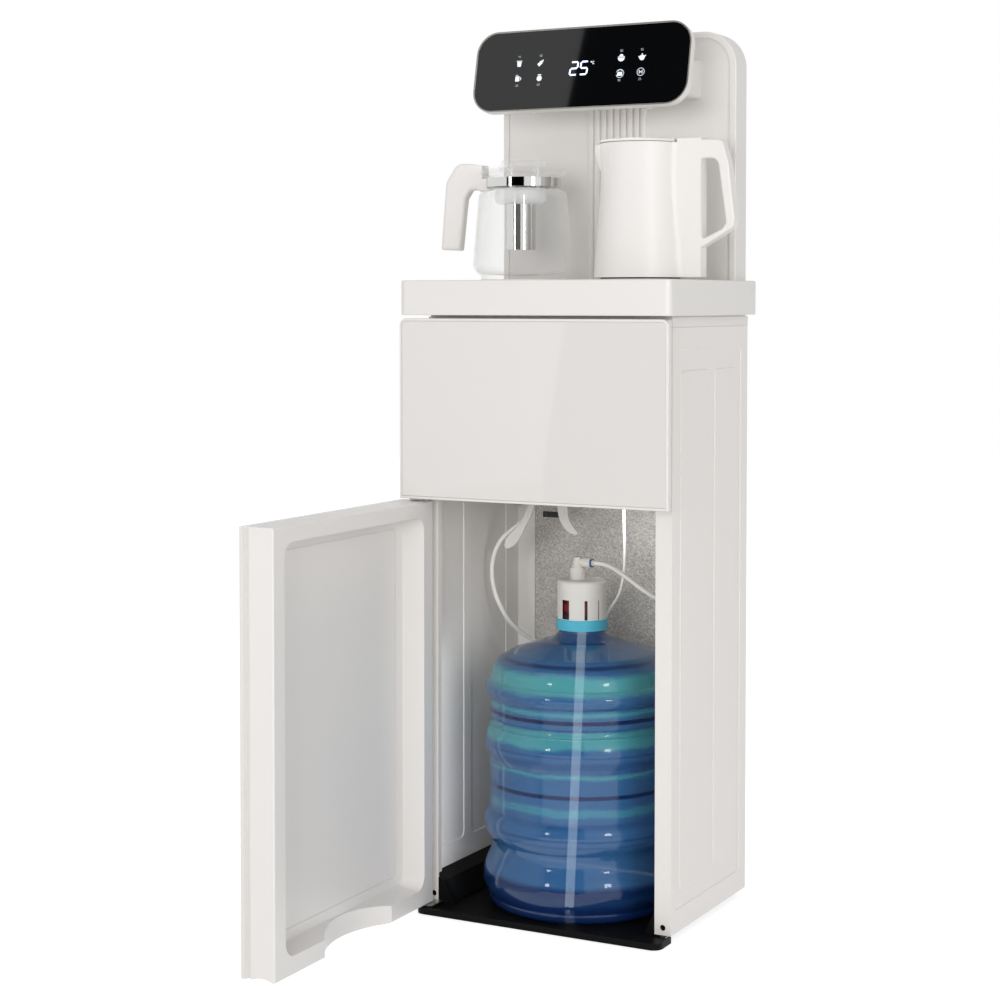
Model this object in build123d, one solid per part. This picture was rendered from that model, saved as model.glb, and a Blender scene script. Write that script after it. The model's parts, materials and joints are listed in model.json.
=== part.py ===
from build123d import *
import os
from math import atan2, cos, degrees, pi, radians, sin, sqrt, tan

# Bottom load water cooler with a kettle and a teapot on its deck, in millimetres.
# X to the right, Y to the back, Z up; the origin is the centre of the cabinet's footprint on the floor.

# cabinet
cabinet_w = 366.8
cabinet_d = 267.0
panel_bottom = 10.8
panel_h = 802.2
sheet = 2.0
emboss = 1.2
post_w = 23.5
hinge_post_w = 14.3
lip_depth = 10.0
back_sheet = 0.8
flange_w = 14.0
bay_flange_w = 30.4
hem_w = 12.6
hem_t = 1.0
frame_h = 15.6
frame_wall = 5.0
shadow_h = 2.2
shadow_depth = 2.2
seam = 0.6
fit_gap = 0.1

# embossed dish of the side panels, and the rib between its two raised fields
dish_y = (-123.0, 108.5)
dish_z = (40.5, 784.0)
dish_margin = 18.0
field_top = 756.0
rib_w = 21.0
rib_centre_right = 2.0
rib_centre_left = -28.0
field_bottom_right = 63.0
field_bottom_left = 78.0
dish_r = 10.0

# base tray and feet
tray_under = 2.0
tray_floor = 8.0
tray_skin = 3.5
tray_half = 168.0
tray_reach = 41.4
tray_corner_r = 14.0
front_bar = 4.0
rail_top = 48.0
rail_shoulder = (160.0, 40.0)
rail_toe = (146.0, 12.0)
foot_r = 14.0
foot_spots = ((-150.0, -110.0), (150.0, -110.0), (-150.0, 115.0), (150.0, 115.0), (0.0, 0.0))

# door, closed, and its hinge line
door_w = 400.0
door_h = 559.3
door_bottom = 13.5
door_t = 49.9
door_glass_t = 6.3
front_depth = 52.0
recess_rim_half = 175.0
recess_foot_half = 169.4
recess_z = (36.8, 551.9)
recess_r = 20.0
recess_floor = 19.0
recess_plate = 3.0
door_line_half = 151.0
door_line_z = (57.0, 538.0)
grip_from = 6.3
grip_w = 8.8
grip_depth = 5.5
hinge_x = -190.7
hinge_y = -157.15
open_angle = 89.06
pin_r = 3.0
pin_play = 0.05
bush_r = 5.5
bush_h = 12.0
pin_engaged = 14.0
scoop_gap = 2.0
bracket_t = 2.0
bracket_gap = 1.1
foot_bracket_t = 1.5
foot_bracket_gap = 0.9

# fixed front glass and its carrier
front_gap = 5.0
front_h = 246.6
front_r = 10.0
front_rim = 3.4
front_glass_t = 6.0
carrier_half = 182.0
carrier_clear = 5.2
carrier_lift = 11.6
carrier_wall = 3.0

# deck
deck_w = 403.0
deck_reach = 51.5
deck_setback = 8.0
deck_h = 47.5
deck_r = 11.0
deck_wall = 3.0
tube_half = 112.0
pad_h = 1.9

# column
column_w = 366.0
column_y = (86.3, 127.0)
column_split = 108.0
column_h = 348.5
column_r = 50.0
column_wall = 3.0
column_rim = 9.0
column_recess = 2.5
reed_count = 9
reed_pitch = 10.3
reed_r = 5.0
reed_proud = 4.0

# head
head_glass_w = 324.2
head_glass_h = 112.6
head_glass_t = 2.0
head_r = 30.0
head_rim = 2.4
head_t = 14.0
head_tilt = 11.83
head_y = -45.5
head_drop = 109.7
rim_proud = 0.5
boss_half = 130.0
boss_drop = 93.6
boss_h = 54.0
boss_wall = 3.0
nozzle_x = 88.5
nozzle_y = -2.5
nozzle_neck_r = 5.5
nozzle_reach = 19.5

# kettle
kettle_at = (90.5, -30.5)
kettle_foot_r = 63.5
kettle_mid_r = 58.5
kettle_top_r = 54.5
kettle_rim_r = 56.0
kettle_wall = 3.0
base_plate_r = 58.0
base_plate_t = 2.2
skirt_gap = 1.5
connector_r = 13.0
connector_h = 9.0
socket_engaged = 3.0
lift_angle = 20.0
grip_w_kettle = 20.5
spine_blend = 12.0
spout_reach = 13.0
kettle_h = 188.0
lid_hinge_r = 50.5
lid_seam_drop = 3.9
lid_pin_r = 1.5
lug_t = 3.0
knuckle_half = 8.0

# teapot
teapot_at = (-89.5, -30.5)
teapot_foot_r = 59.0
teapot_wide_r = 71.0
teapot_shoulder_r = 62.0
teapot_neck_r = 51.5
glass_wall = 2.2
band_t = 1.2
band_lift = 129.0
band_h = 12.5
infuser_x = -5.0
infuser_r = 22.0
infuser_lift = 41.5
infuser_h = 66.0
funnel_r = 36.0
funnel_h = 22.0
funnel_wall = 1.5
teapot_grip_w = 20.0
teapot_lid_lift = 5.4

# bottle, probe and straw
bottle_at = (0.0, -24.5)
bottle_r = 129.2
rib_r = 137.6
bottle_neck_r = 32.7
bottle_skin = 1.6
ring_r = 35.8
ring_lift = 6.0
bottle_h = 377.0
ring_h = 15.0
cap_r = 34.4
cap_h = 60.0
cap_wall = 2.0
core_r = 30.5
window_h = 27.0
stub_x = -6.8
stub_r = 10.7
straw_r = 6.25
straw_foot = (9.0, -81.5, 13.0)
hose_d = 6.35
hose_gland_r = 6.0
lead_d = 4.0
lead_gland_r = 4.5
hook_y = 7.5
hook_t = 2.0

# upper compartment
tank_at = (85.0, 25.0)
tank_r = 56.0
tank_lift = 25.6
tank_h = 140.0
heater_at = (-98.0, 92.0)
heater_r = 23.0
heater_lift = 25.6
heater_h = 154.0
pump_at = (-98.0, 14.5)
pump_r = 25.0
pump_lift = 19.6
pump_h = 32.0
motor_r = 19.0
motor_h = 58.0
line_lift = 35.6
line_r = 4.0
fan_z = 670.0
fan_r = 40.0
fan_size = 92.0

# circuit boards
board_half = 70.0
board_lift = 71.6
board_h = 110.0
board_back = 8.0
board_t = 1.6
board_y = -163.0

# fittings on the back sheet
screw_r = 1.9
screw_inset = 7.4
rear_inset = 31.4
gland_r = 7.0
gland_lift = 27.6
switch_half = (9.0, 12.5)
switch_wall = 1.6
switch_lift = 81.6
rocker_tilt = 8.0
drain_r = 6.0
drain_lift = 25.6

# derived heights and planes
half_w = cabinet_w / 2
front_y = -cabinet_d / 2
back_y = cabinet_d / 2
panel_top = panel_bottom + panel_h
flange_back_y = back_y - back_sheet
door_front = front_y - front_depth
door_back = door_front + door_t
door_top = door_bottom + door_h
ceiling_z = door_top + bracket_gap + bracket_t
ceiling_top = ceiling_z + 2.5
frame_top = panel_top + frame_h
deck_top = frame_top + deck_h
deck_front = front_y - deck_reach
deck_back = back_y - deck_setback
column_top = deck_top + column_h
plate_top = deck_top + base_plate_t
skirt_z = plate_top + skirt_gap
inner_half = half_w - sheet - emboss
carrier_z = (ceiling_top + carrier_lift, frame_top - carrier_clear)
board_z = (ceiling_top + board_lift, ceiling_top + board_lift + board_h)
tank_z = (ceiling_top + tank_lift, ceiling_top + tank_lift + tank_h)
heater_z = (ceiling_top + heater_lift, ceiling_top + heater_lift + heater_h)
pump_z = (ceiling_top + pump_lift, ceiling_top + pump_lift + pump_h)
line_z = ceiling_top + line_lift
gland_at = (-half_w + rear_inset, ceiling_top + gland_lift)
switch_at = (-half_w + rear_inset, ceiling_top + switch_lift)
drain_at = (0.0, ceiling_top + drain_lift)
boss_z = (column_top - boss_drop, column_top - boss_drop + boss_h)
head_foot = (head_y, column_top - head_drop)
nozzle_tip = boss_z[0] - nozzle_reach
lid_seam = plate_top + kettle_h - lid_seam_drop
teapot_foot_z = deck_top + pad_h
band_z = (teapot_foot_z + band_lift, teapot_foot_z + band_lift + band_h)
infuser_z = (teapot_foot_z + infuser_lift, teapot_foot_z + infuser_lift + infuser_h)
ring_z = (tray_floor + bottle_h, tray_floor + bottle_h + ring_h)

# routes of the hose and the lead, and where they end
hose_points = [
    (19.0, -24.5, 483.4), (31.0, -24.5, 483.4), (45.0, -27.0, 480.4), (59.0, -31.5, 475.2), (73.0, -35.5, 468.6),
    (87.0, -38.5, 460.6), (102.0, -37.5, 450.8), (119.0, -31.0, 439.8), (135.0, -14.0, 427.0),
    (145.0, 8.0, 413.0), (149.0, 32.0, 397.0), (146.0, 56.0, 379.0), (137.0, 78.0, 360.0), (120.0, 98.0, 344.0),
    (96.0, 111.0, 333.0), (62.0, 118.0, 328.0), (22.0, 119.0, 326.0), (-20.0, 119.0, 326.0),
    (-60.0, 117.0, 327.0), (-92.0, 109.0, 331.0), (-116.0, 94.0, 339.0), (-131.0, 76.0, 351.0),
    (-142.0, 54.0, 367.0), (-149.0, 34.0, 386.0), (-155.0, 21.0, 408.0), (-161.0, 15.5, 430.0),
    (-164.0, 14.5, 450.0), (-163.0, 14.5, 471.0), (-157.0, 14.5, 491.0), (-145.0, 14.5, 508.0),
    (-130.0, 14.5, 519.0), (-115.5, 14.5, 530.0), (-104.0, 14.5, 543.0), (-98.0, 14.5, 558.5),
    (-98.0, 14.5, 572.5),
]
lead_points = [
    (32.6, 44.5, 570.0), (32.6, 44.5, 534.0), (34.0, 44.5, 497.0), (33.5, 43.0, 464.0), (31.0, 38.5, 440.0),
    (26.5, 30.5, 424.0), (20.8, 21.5, 412.0), (17.6, 16.5, 403.0), (17.6, 16.5, 394.0),
]
hose_end = hose_points[-1][:2]
lead_end = lead_points[0][:2]
lead_end_low = lead_points[-1]


def block(x0, x1, y0, y1, z0, z1):
    return Pos((x0 + x1) / 2, (y0 + y1) / 2, (z0 + z1) / 2) * Box(abs(x1 - x0), abs(y1 - y0), abs(z1 - z0))


def rod(r, z0, z1, x=0, y=0):
    return Pos(x, y, (z0 + z1) / 2) * Cylinder(r, z1 - z0)


def rod_x(r, x0, x1, y, z):
    return Pos((x0 + x1) / 2, y, z) * Rot(0, 90, 0) * Cylinder(r, x1 - x0)


def rod_y(r, y0, y1, x, z):
    return Pos(x, (y0 + y1) / 2, z) * Rot(90, 0, 0) * Cylinder(r, y1 - y0)


def pipe(r, wall, z0, z1, x=0, y=0):
    return rod(r, z0, z1, x, y) - rod(r - wall, z0 - 1, z1 + 1, x, y)


def turned(outline, at):
    # outline: a closed face of (radius, height) points
    return Pos(at[0], at[1], 0) * revolve(Plane.XZ * outline, Axis.Z)


def slab_y(face, y0, y1):
    return extrude(Plane.XZ.offset(-y1) * face, y1 - y0)


def slab_z(face, z0, z1):
    return extrude(Plane.XY.offset(z0) * face, z1 - z0)


def rounded(points, radii):
    # closed outline with corner i rounded to radii[i]
    face = make_face(Polyline(*points, close=True))
    for point, radius in zip(points, radii):
        if radius:
            face = fillet(face.vertices().sort_by_distance(Vector(*point))[0], radius)
    return face


def swing(part):
    # a door piece drawn closed, turned to its open rest place
    return Pos(hinge_x, hinge_y, 0) * Rot(0, 0, -open_angle) * Pos(-hinge_x, -hinge_y, 0) * part


# --- base tray, feet, cabinet ---

def rail(y0, y1, x_outer):
    # one side rail: flank against the panel, sloping top, steep inner face
    outer = [(rail_toe[0], tray_under), rail_toe, rail_shoulder, (x_outer, rail_top), (x_outer, tray_under)]
    return slab_y(make_face(Polyline(*outer, close=True)), y0, y1)


def base_tray():
    lip_y = front_y - tray_reach
    rear_y = flange_back_y - sheet - 0.4
    body = block(-tray_half, tray_half, front_y, rear_y, tray_under, tray_floor)
    lip_w = cabinet_w + 1.2
    lip = Pos(0, (lip_y + front_y) / 2 + 5) * Rectangle(lip_w, tray_reach + 10)
    lip = fillet(lip.vertices().group_by(Axis.Y)[0], tray_corner_r)
    lip_solid = slab_z(lip, tray_under, panel_bottom)
    lip_hollow = Pos(0, (lip_y + front_y) / 2 + 5 + front_bar) * Rectangle(lip_w - 2 * front_bar, tray_reach + 10)
    lip_solid -= slab_z(lip_hollow, tray_floor, panel_bottom + 1)
    lip_solid -= block(-lip_w, lip_w, front_y, 0, tray_under - 1, panel_bottom + 1)
    body += lip_solid
    for side in (-1, 1):
        x_out = inner_half - fit_gap
        part = rail(front_y + sheet, rear_y, x_out)
        post_in = half_w - post_width(side) - fit_gap
        part += rail(front_y, front_y + sheet, x_out) & block(0, post_in, front_y, 0, 0, 60)
        part -= block(tray_half, half_w, front_y - 1, rear_y + 1, 0, panel_bottom + 1.2)
        part -= slab_y(make_face(Polyline(
            (rail_toe[0] + tray_skin, 0), (rail_toe[0] + tray_skin, rail_toe[1]),
            (rail_shoulder[0] + tray_skin, rail_shoulder[1] - tray_skin),
            (x_out - tray_skin, rail_top - 2 * tray_skin), (x_out - tray_skin, 0), close=True)),
            front_y + sheet + tray_skin, rear_y - tray_skin)
        body += part if side > 0 else mirror(part, Plane.YZ)
    # underside hollow, with cross ribs left standing
    ribs = 5
    bay = (rear_y - lip_y - 2 * tray_skin) / ribs
    for index in range(ribs):
        y0 = lip_y + tray_skin + index * bay
        body -= block(-tray_half + 8, tray_half - 8, y0, y0 + bay - tray_skin, 0, tray_floor - tray_skin)
    # seats of the rubber feet
    for x, y in foot_spots:
        body -= rod(foot_r, 0, tray_floor - tray_skin, x, y)
    # pad that carries the lower hinge bracket
    pad_top = door_bottom - foot_bracket_gap - foot_bracket_t
    body += block(-half_w, -half_w + 20, lip_y + front_bar + 2, front_y - 0.2, tray_floor, pad_top)
    # two shallow ridges along the lip's front
    for z in (4.4, 7.4):
        body -= block(-half_w + 16, half_w - 16, lip_y - 1, lip_y + 0.5, z - 0.4, z + 0.4)
    return body


def rubber_feet():
    # one at each corner and one in the middle, under the bottle's weight
    return Compound([rod(foot_r, 0, tray_floor - tray_skin, x, y) for x, y in foot_spots])


def panel_patch(x, y0, y1, z0, z1, taper):
    inset = 0 if taper > 0 else emboss
    width = y1 - y0 - 2 * inset
    height = z1 - z0 - 2 * inset
    face = Pos((y0 + y1) / 2, (z0 + z1) / 2) * RectangleRounded(width, height, dish_r - inset)
    return extrude(Plane.YZ.offset(x) * face, emboss, taper=taper)


def dish(x, rib_centre, field_bottom):
    # the tapered hollow under x, with its two raised fields left out
    hollow = panel_patch(x - emboss, *dish_y, *dish_z, -45)
    spans = ((dish_y[0] + dish_margin, rib_centre - rib_w / 2), (rib_centre + rib_w / 2, dish_y[1] - dish_margin))
    for y0, y1 in spans:
        hollow -= panel_patch(x - emboss, y0, y1, field_bottom, field_top, 45)
    return hollow


def post_width(side):
    return hinge_post_w if side < 0 else post_w


def side_panel(side, rib_centre, field_bottom):
    wall = block(half_w - sheet, half_w, front_y, flange_back_y, panel_bottom, panel_top)
    wall += dish(half_w - sheet, rib_centre, field_bottom)
    wall -= dish(half_w, rib_centre, field_bottom)
    post_x = half_w - post_width(side)
    wall += block(post_x, half_w, front_y, front_y + sheet, panel_bottom, panel_top)
    lip = block(post_x, post_x + sheet, front_y, front_y + lip_depth, rail_top + 2, panel_top)
    lip -= block(post_x - 1, post_x + sheet + 1, front_y + sheet, back_y, door_top + 0.3, ceiling_top + 0.3)
    wall += lip
    # return flange at the back, wider and hemmed behind the bottle
    flange_y = flange_back_y - sheet
    wall += block(half_w - flange_w, half_w, flange_y, flange_back_y, panel_bottom, panel_top)
    hem_x = half_w - bay_flange_w
    wall += block(hem_x, half_w - 1, flange_y, flange_back_y, rail_top + 2, ceiling_z - 0.5)
    wall += block(hem_x, hem_x + hem_w, flange_y - hem_t, flange_y + 0.5, rail_top + 2, ceiling_z - 0.5)
    # slot for the hinge bracket, hole near the foot, screw holes
    slot_z = door_top + 0.4
    wall -= block(post_x - 1, half_w - sheet - 1.4, front_y - 1, front_y + lip_depth + 1, slot_z, slot_z + 4)
    wall -= rod_y(4, front_y - 1, front_y + sheet + 0.5, half_w - post_width(side) / 2, panel_bottom + 9.8)
    for z in screw_heights():
        wall -= rod_y(screw_r + 0.1, flange_back_y - sheet - 1, back_y, half_w - screw_inset, z)
    return wall if side > 0 else mirror(wall, Plane.YZ)


def screw_heights():
    rows = 4
    low = panel_bottom + 45
    high = panel_top - 25
    return [low + (high - low) * row / (rows - 1) for row in range(rows)]


def back_panel():
    panel = block(-half_w + 2, half_w - 2, flange_back_y, back_y, panel_bottom + 1, panel_top)
    for z in screw_heights():
        for side in (-1, 1):
            panel -= rod_y(screw_r + 0.1, 0, back_y + 1, side * (half_w - screw_inset), z)
    # louvre slots in front of the fan, and a bank over the other side
    for row in range(9):
        z = fan_z - 36 + 9 * row
        panel -= block(tank_at[0] - 36, tank_at[0] + 36, 0, back_y + 1, z - 2, z + 2)
    panel -= rod_y(gland_r, 0, back_y + 1, gland_at[0], gland_at[1])
    x, z = switch_at
    panel -= block(x - 9.6, x + 9.6, 0, back_y + 1, z - 13.1, z + 13.1)
    panel -= rod_y(drain_r, 0, back_y + 1, drain_at[0], drain_at[1])
    return panel


def back_screws():
    heads = []
    for z in screw_heights():
        for side in (-1, 1):
            x = side * (half_w - screw_inset)
            shank = rod_y(screw_r, back_y - 9, back_y, x, z)
            head = rod_y(3.6, back_y, back_y + 1.8, x, z)
            slot = block(x - 2.2, x + 2.2, back_y + 1, back_y + 2, z - 0.4, z + 0.4)
            heads.append(shank + head - slot - Pos(x, 0, z) * Rot(0, 90, 0) * Pos(-x, 0, -z) * slot)
    return Compound(heads)


def ceiling():
    x = inner_half - fit_gap
    post_in = half_w - post_w - fit_gap
    hinge_in = half_w - hinge_post_w - fit_gap
    y0 = front_y + sheet + 0.2
    y1 = flange_back_y - sheet - 0.2
    plate = block(-x, x, y0, y1, ceiling_z, ceiling_top)
    plate += block(-hinge_in, post_in, y0, y0 + sheet, ceiling_z, ceiling_top + 10)
    for side in (-1, 1):
        plate += block(side * x, side * (x - 2), y0 + lip_depth, y1, ceiling_z, ceiling_top + 10)
    plate += block(-x, x, y1 - 2, y1, ceiling_z, ceiling_top + 10)
    plate -= rod(hose_gland_r, 0, 700, *hose_end)
    plate -= rod(lead_gland_r, 0, 700, *lead_end)
    return plate


def upper_frame():
    ring = block(-half_w, half_w, front_y, back_y, panel_top, frame_top)
    # shadow line under the deck, and a fine seam over the panels
    grooves = ((shadow_depth, frame_top - shadow_h, frame_top + 1), (sheet / 2, panel_top - 1, panel_top + seam))
    for inset, z0, z1 in grooves:
        groove = block(-half_w - 1, half_w + 1, front_y - 1, back_y + 1, z0, z1)
        x = half_w - inset
        ring -= groove - block(-x, x, front_y + inset, back_y - inset, z0 - 1, z1 + 1)
    inner = half_w - frame_wall
    ring -= block(-inner, inner, front_y + frame_wall, back_y - frame_wall, panel_top - 1, frame_top + 1)
    seat = half_w - sheet - fit_gap
    y0, y1 = front_y + sheet + fit_gap, flange_back_y - sheet - fit_gap
    skirt = block(-seat, seat, y0, y1, panel_top - 8, panel_top + 4)
    skirt -= block(-seat + 3, seat - 3, y0 + 3, y1 - 3, panel_top - 9, panel_top + 5)
    for side in (-1, 1):
        post = side * (half_w - post_width(side) + sheet / 2)
        skirt -= block(post - 1.5, post + 1.5, front_y, front_y + lip_depth + 1, panel_top - 9, panel_top)
    return ring + skirt


# --- front carrier and glass ---

def front_face(inset):
    # front panel's outline: square at the foot, rounded at the top
    width, height = door_w - 2 * inset, front_h - 2 * inset
    face = Pos(0, door_top + front_gap + front_h / 2) * Rectangle(width, height)
    return fillet(face.vertices().group_by(Axis.Y)[-1], front_r - inset)


def front_carrier():
    # shallow frame round the pane, and a deep box behind it
    y0 = door_front + front_glass_t
    body = slab_y(front_face(0), door_front, y0 + carrier_wall)
    body = fillet(body.faces().sort_by(Axis.Y)[0].edges(), 1.5)
    body -= slab_y(front_face(front_rim), door_front - 1, y0)
    z0, z1 = carrier_z
    body += block(-carrier_half, carrier_half, y0 + 1, front_y, z0, z1)
    inner = carrier_half - carrier_wall
    body -= block(-inner, inner, y0 + carrier_wall, front_y + 1, z0 + carrier_wall, z1 - carrier_wall)
    for x in (-board_half + 8, board_half - 8):
        for z in (board_z[0] + 10, board_z[1] - 10):
            body += rod_y(4, y0 + 1, board_y, x, z)
    return body


def front_glass():
    pane = slab_y(front_face(front_rim + fit_gap), door_front, door_front + front_glass_t)
    return chamfer(pane.faces().sort_by(Axis.Y)[0].edges(), 0.9)


# --- deck and what stands on it ---

def deck():
    depth = deck_back - deck_front
    middle = (deck_back + deck_front) / 2
    outline = Pos(0, middle) * RectangleRounded(deck_w, depth, deck_r)
    body = slab_z(outline, frame_top, deck_top)
    body = fillet(body.faces().sort_by(Axis.Z)[-1].edges(), 2.5)
    body = fillet(body.faces().sort_by(Axis.Z)[0].edges(), 1.5)
    inside = Pos(0, middle) * RectangleRounded(deck_w - 2 * deck_wall, depth - 2 * deck_wall, deck_r - deck_wall)
    body -= slab_z(inside, frame_top + deck_wall, deck_top - deck_wall)
    x = half_w - frame_wall - 4
    body -= block(-x, x, front_y + frame_wall + 4, deck_back - frame_wall - 2, frame_top - 1, deck_top - deck_wall)
    for x in (-deck_w / 2 + 41.5, 0, deck_w / 2 - 41.5):
        body += block(x - 1.5, x + 1.5, front_y - 30, deck_back - 14, deck_top - 20, deck_top - deck_wall + 0.5)
    body -= block(-tube_half, tube_half, column_y[0] + 9, deck_back - 6, deck_top - deck_wall - 1, deck_top + 1)
    body += rod(teapot_foot_r + 1.5, deck_top - 1, deck_top + pad_h, *teapot_at)
    return body


def kettle_base_plate():
    plate = rod(base_plate_r, deck_top, plate_top, *kettle_at)
    plate = fillet(plate.faces().sort_by(Axis.Z)[-1].edges(), 1.0)
    return plate


def kettle_connector():
    top = plate_top + connector_h
    body = rod(connector_r, plate_top, top, *kettle_at)
    body = fillet(body.faces().sort_by(Axis.Z)[-1].edges(), 1.5)
    body -= pipe(9, 1.4, top - 3, top + 1, *kettle_at)
    body -= rod(2.2, top - 5, top + 1, *kettle_at)
    return body


# --- column ---

def column_outline(inset):
    w = column_w - 2 * inset
    h = column_h - inset
    face = Pos(0, deck_top + h / 2) * Rectangle(w, h)
    return fillet(face.vertices().group_by(Axis.Y)[-1], column_r - inset)


def column_front():
    y0, y1 = column_y[0], column_split
    body = slab_y(column_outline(0), y0, y1)
    front = body.faces().sort_by(Axis.Y)[0]
    body = fillet(front.edges().filter_by(lambda e: e.center().Z > deck_top + 1), 2.0)
    dip = slab_y(column_outline(column_rim), y0 - 1, y0 + column_recess)
    body -= dip
    body -= slab_y(column_outline(column_wall), y0 + column_recess + column_wall, y1 + 1)
    face_y = y0 + column_recess
    first = -(reed_count - 1) / 2 * reed_pitch
    for index in range(reed_count):
        reed = rod(reed_r, deck_top, boss_z[0] - 0.5, first + index * reed_pitch, face_y - reed_proud + reed_r)
        body += reed & block(-60, 60, 0, face_y + 1, deck_top, boss_z[0])
    body -= block(-tube_half, tube_half, face_y - 1, y1, boss_z[0] + boss_wall + 2, boss_z[1] - boss_wall - 2)
    return body


def column_back():
    y0, y1 = column_split, column_y[1]
    body = slab_y(column_outline(0), y0, y1)
    body = fillet(body.faces().sort_by(Axis.Y)[-1].edges().filter_by(lambda e: e.center().Z > deck_top + 1), 2.0)
    body -= slab_y(column_outline(column_wall), y0 - 1, y1 - column_wall)
    return body


# --- head ---

head_plane = Plane(
    origin=(0, head_foot[0], head_foot[1]),
    x_dir=(1, 0, 0),
    z_dir=(0, -cos(radians(head_tilt)), sin(radians(head_tilt))),
)


def head_slab(grow, n0, n1, r):
    # rounded slab on the head's slanted face: n counts outwards from the glass's front
    face = Pos(0, head_glass_h / 2) * RectangleRounded(head_glass_w + 2 * grow, head_glass_h + 2 * grow, r)
    return extrude(head_plane.offset(n0) * face, n1 - n0)


def head_frame():
    body = head_slab(head_rim, -head_t, rim_proud, head_r + head_rim)
    back = body.faces().filter_by(lambda f: f.normal_at().Y > 0.9)
    body = fillet(back.edges(), 3.0)
    body -= head_slab(0.2, -head_glass_t, rim_proud + 1, head_r)
    body -= head_slab(-8, -head_t + 3, 0, head_r - 8)
    for x in (-95, 95):
        for s in (22, 90):
            post = Pos(x, s) * Circle(3.5)
            body += extrude(head_plane.offset(-head_t + 2) * post, head_t - 2 - board_back)
    hole = Pos(0, 50) * Rectangle(60, 24)
    body -= extrude(head_plane.offset(-head_t - 1) * hole, 6)
    return body


def head_glass():
    return head_slab(0, -head_glass_t, 0, head_r)


def circuit_boards():
    face = Pos(0, head_glass_h / 2) * RectangleRounded(230, 80, 3)
    display = extrude(head_plane.offset(-board_back) * face, board_t)
    digits = Pos(0, 55) * Rectangle(40, 26)
    display += extrude(head_plane.offset(-board_back + board_t) * digits, board_back - board_t - head_glass_t)
    low, face_y = board_z[0], board_y + board_t
    power = block(-board_half, board_half, board_y, face_y, *board_z)
    power += block(-50, -15, face_y, board_y + 22, low + 15, low + 50)
    power += block(10, 40, face_y, board_y + 16, low + 65, low + 90)
    for x in (-30, 0, 30):
        power += rod_y(6, face_y, board_y + 20, x, low + 58 - 0.3 * x)
    return Compound([display, power])


def behind_head(part):
    front = head_plane.offset(-head_t) * (Pos(0, 0) * Rectangle(600, 600))
    return part - extrude(front, 300)


def head_boss():
    y1 = column_y[0] + column_recess
    z0, z1 = boss_z
    body = block(-boss_half, boss_half, head_foot[0], y1, z0, z1)
    body = fillet(body.edges().filter_by(Axis.Y), 6)
    inner = boss_half - boss_wall
    body -= block(-inner, inner, head_foot[0] - 1, y1 + 1, z0 + boss_wall, z1 - boss_wall)
    for side in (-1, 1):
        body -= rod(nozzle_neck_r + fit_gap, z0 - 1, z0 + boss_wall + 1, side * nozzle_x, nozzle_y)
    return behind_head(body)


def outlet_nozzles():
    z0 = boss_z[0]
    parts = []
    for side in (-1, 1):
        x = side * nozzle_x
        body = rod(9, z0 - 9, z0, x, nozzle_y) + rod(nozzle_neck_r, nozzle_tip, z0 + boss_wall + 3, x, nozzle_y)
        body += Pos(x, nozzle_y, z0 - 12) * Cone(nozzle_neck_r + 1, 9, 6)
        parts.append(body - rod(3, nozzle_tip - 1, z0 + boss_wall + 4, x, nozzle_y))
    return Compound(parts)


# --- kettle ---

def kettle_side(skin):
    # the shell's outer curve less a skin, from the foot to the rim
    top = plate_top + kettle_h
    return Spline(
        (kettle_foot_r - skin, skirt_z), (kettle_mid_r - skin, skirt_z + 65),
        (kettle_top_r - skin, skirt_z + 125), (kettle_top_r - skin + 0.6, top - 4.5),
    )


def kettle_wall_face(outer, inner):
    a = kettle_side(outer)
    b = kettle_side(inner)
    return make_face([a, Line(a @ 1, b @ 1), b, Line(b @ 0, a @ 0)])


def kettle_solid():
    a = kettle_side(0)
    axis_top = (0, (a @ 1).Y)
    axis_foot = (0, (a @ 0).Y)
    return turned(make_face([a, Line(a @ 1, axis_top), Line(axis_top, axis_foot), Line(axis_foot, a @ 0)]), kettle_at)


def spout(grow, top):
    # beak on the -X side: a wedge in plan, sloping under
    r = kettle_top_r
    tip = -r - spout_reach - grow
    plan = make_face(Polyline((-r + 6, -20 - grow), (tip, -2.5), (tip, 2.5), (-r + 6, 20 + grow), close=True))
    beak = slab_z(plan, top - 42, top)
    side = make_face(Polyline(
        (-r + 8, top - 40), (-r + 0.5, top - 34), (tip - 1, top - 8), (tip - 1, top + 1), (-r + 8, top + 1), close=True))
    return Pos(kettle_at[0], kettle_at[1], 0) * (beak & slab_y(side, -30, 30))


def kettle_shell():
    top = (kettle_side(0) @ 1).Y
    body = turned(kettle_wall_face(0, kettle_wall), kettle_at)
    beak = spout(0, top) - turned_core(kettle_wall)
    body += beak
    body -= spout(-2.2, top + 0.5) & block(-100, 200, -100, 100, top - 26, top + 2)
    for side in (-1, 1):
        body += hinge_lug(side, top)
    return body


def turned_core(skin):
    a = kettle_side(skin)
    low, high = (0, (a @ 0).Y), (0, (a @ 1).Y + 5)
    tip = ((a @ 1).X, (a @ 1).Y + 5)
    return turned(make_face(Polyline(a @ 0, a @ 0.4, a @ 0.7, a @ 1, tip, high, low, close=True)), kettle_at)


def hinge_lug(side, top):
    # ear on the shell's rim that carries the lid's pin
    x = kettle_at[0] + lid_hinge_r + 1.0
    y = kettle_at[1] + side * (knuckle_half + 0.3 + lug_t / 2)
    ear = block(x - 3, x + 3, y - lug_t / 2, y + lug_t / 2, top - 0.5, lid_pin_z())
    ear += rod_y(3, y - lug_t / 2, y + lug_t / 2, x, lid_pin_z())
    return ear - rod_y(lid_pin_r + pin_play, y - lug_t, y + lug_t, x, lid_pin_z())


def lid_pin_z():
    return lid_seam + 2.6


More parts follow.
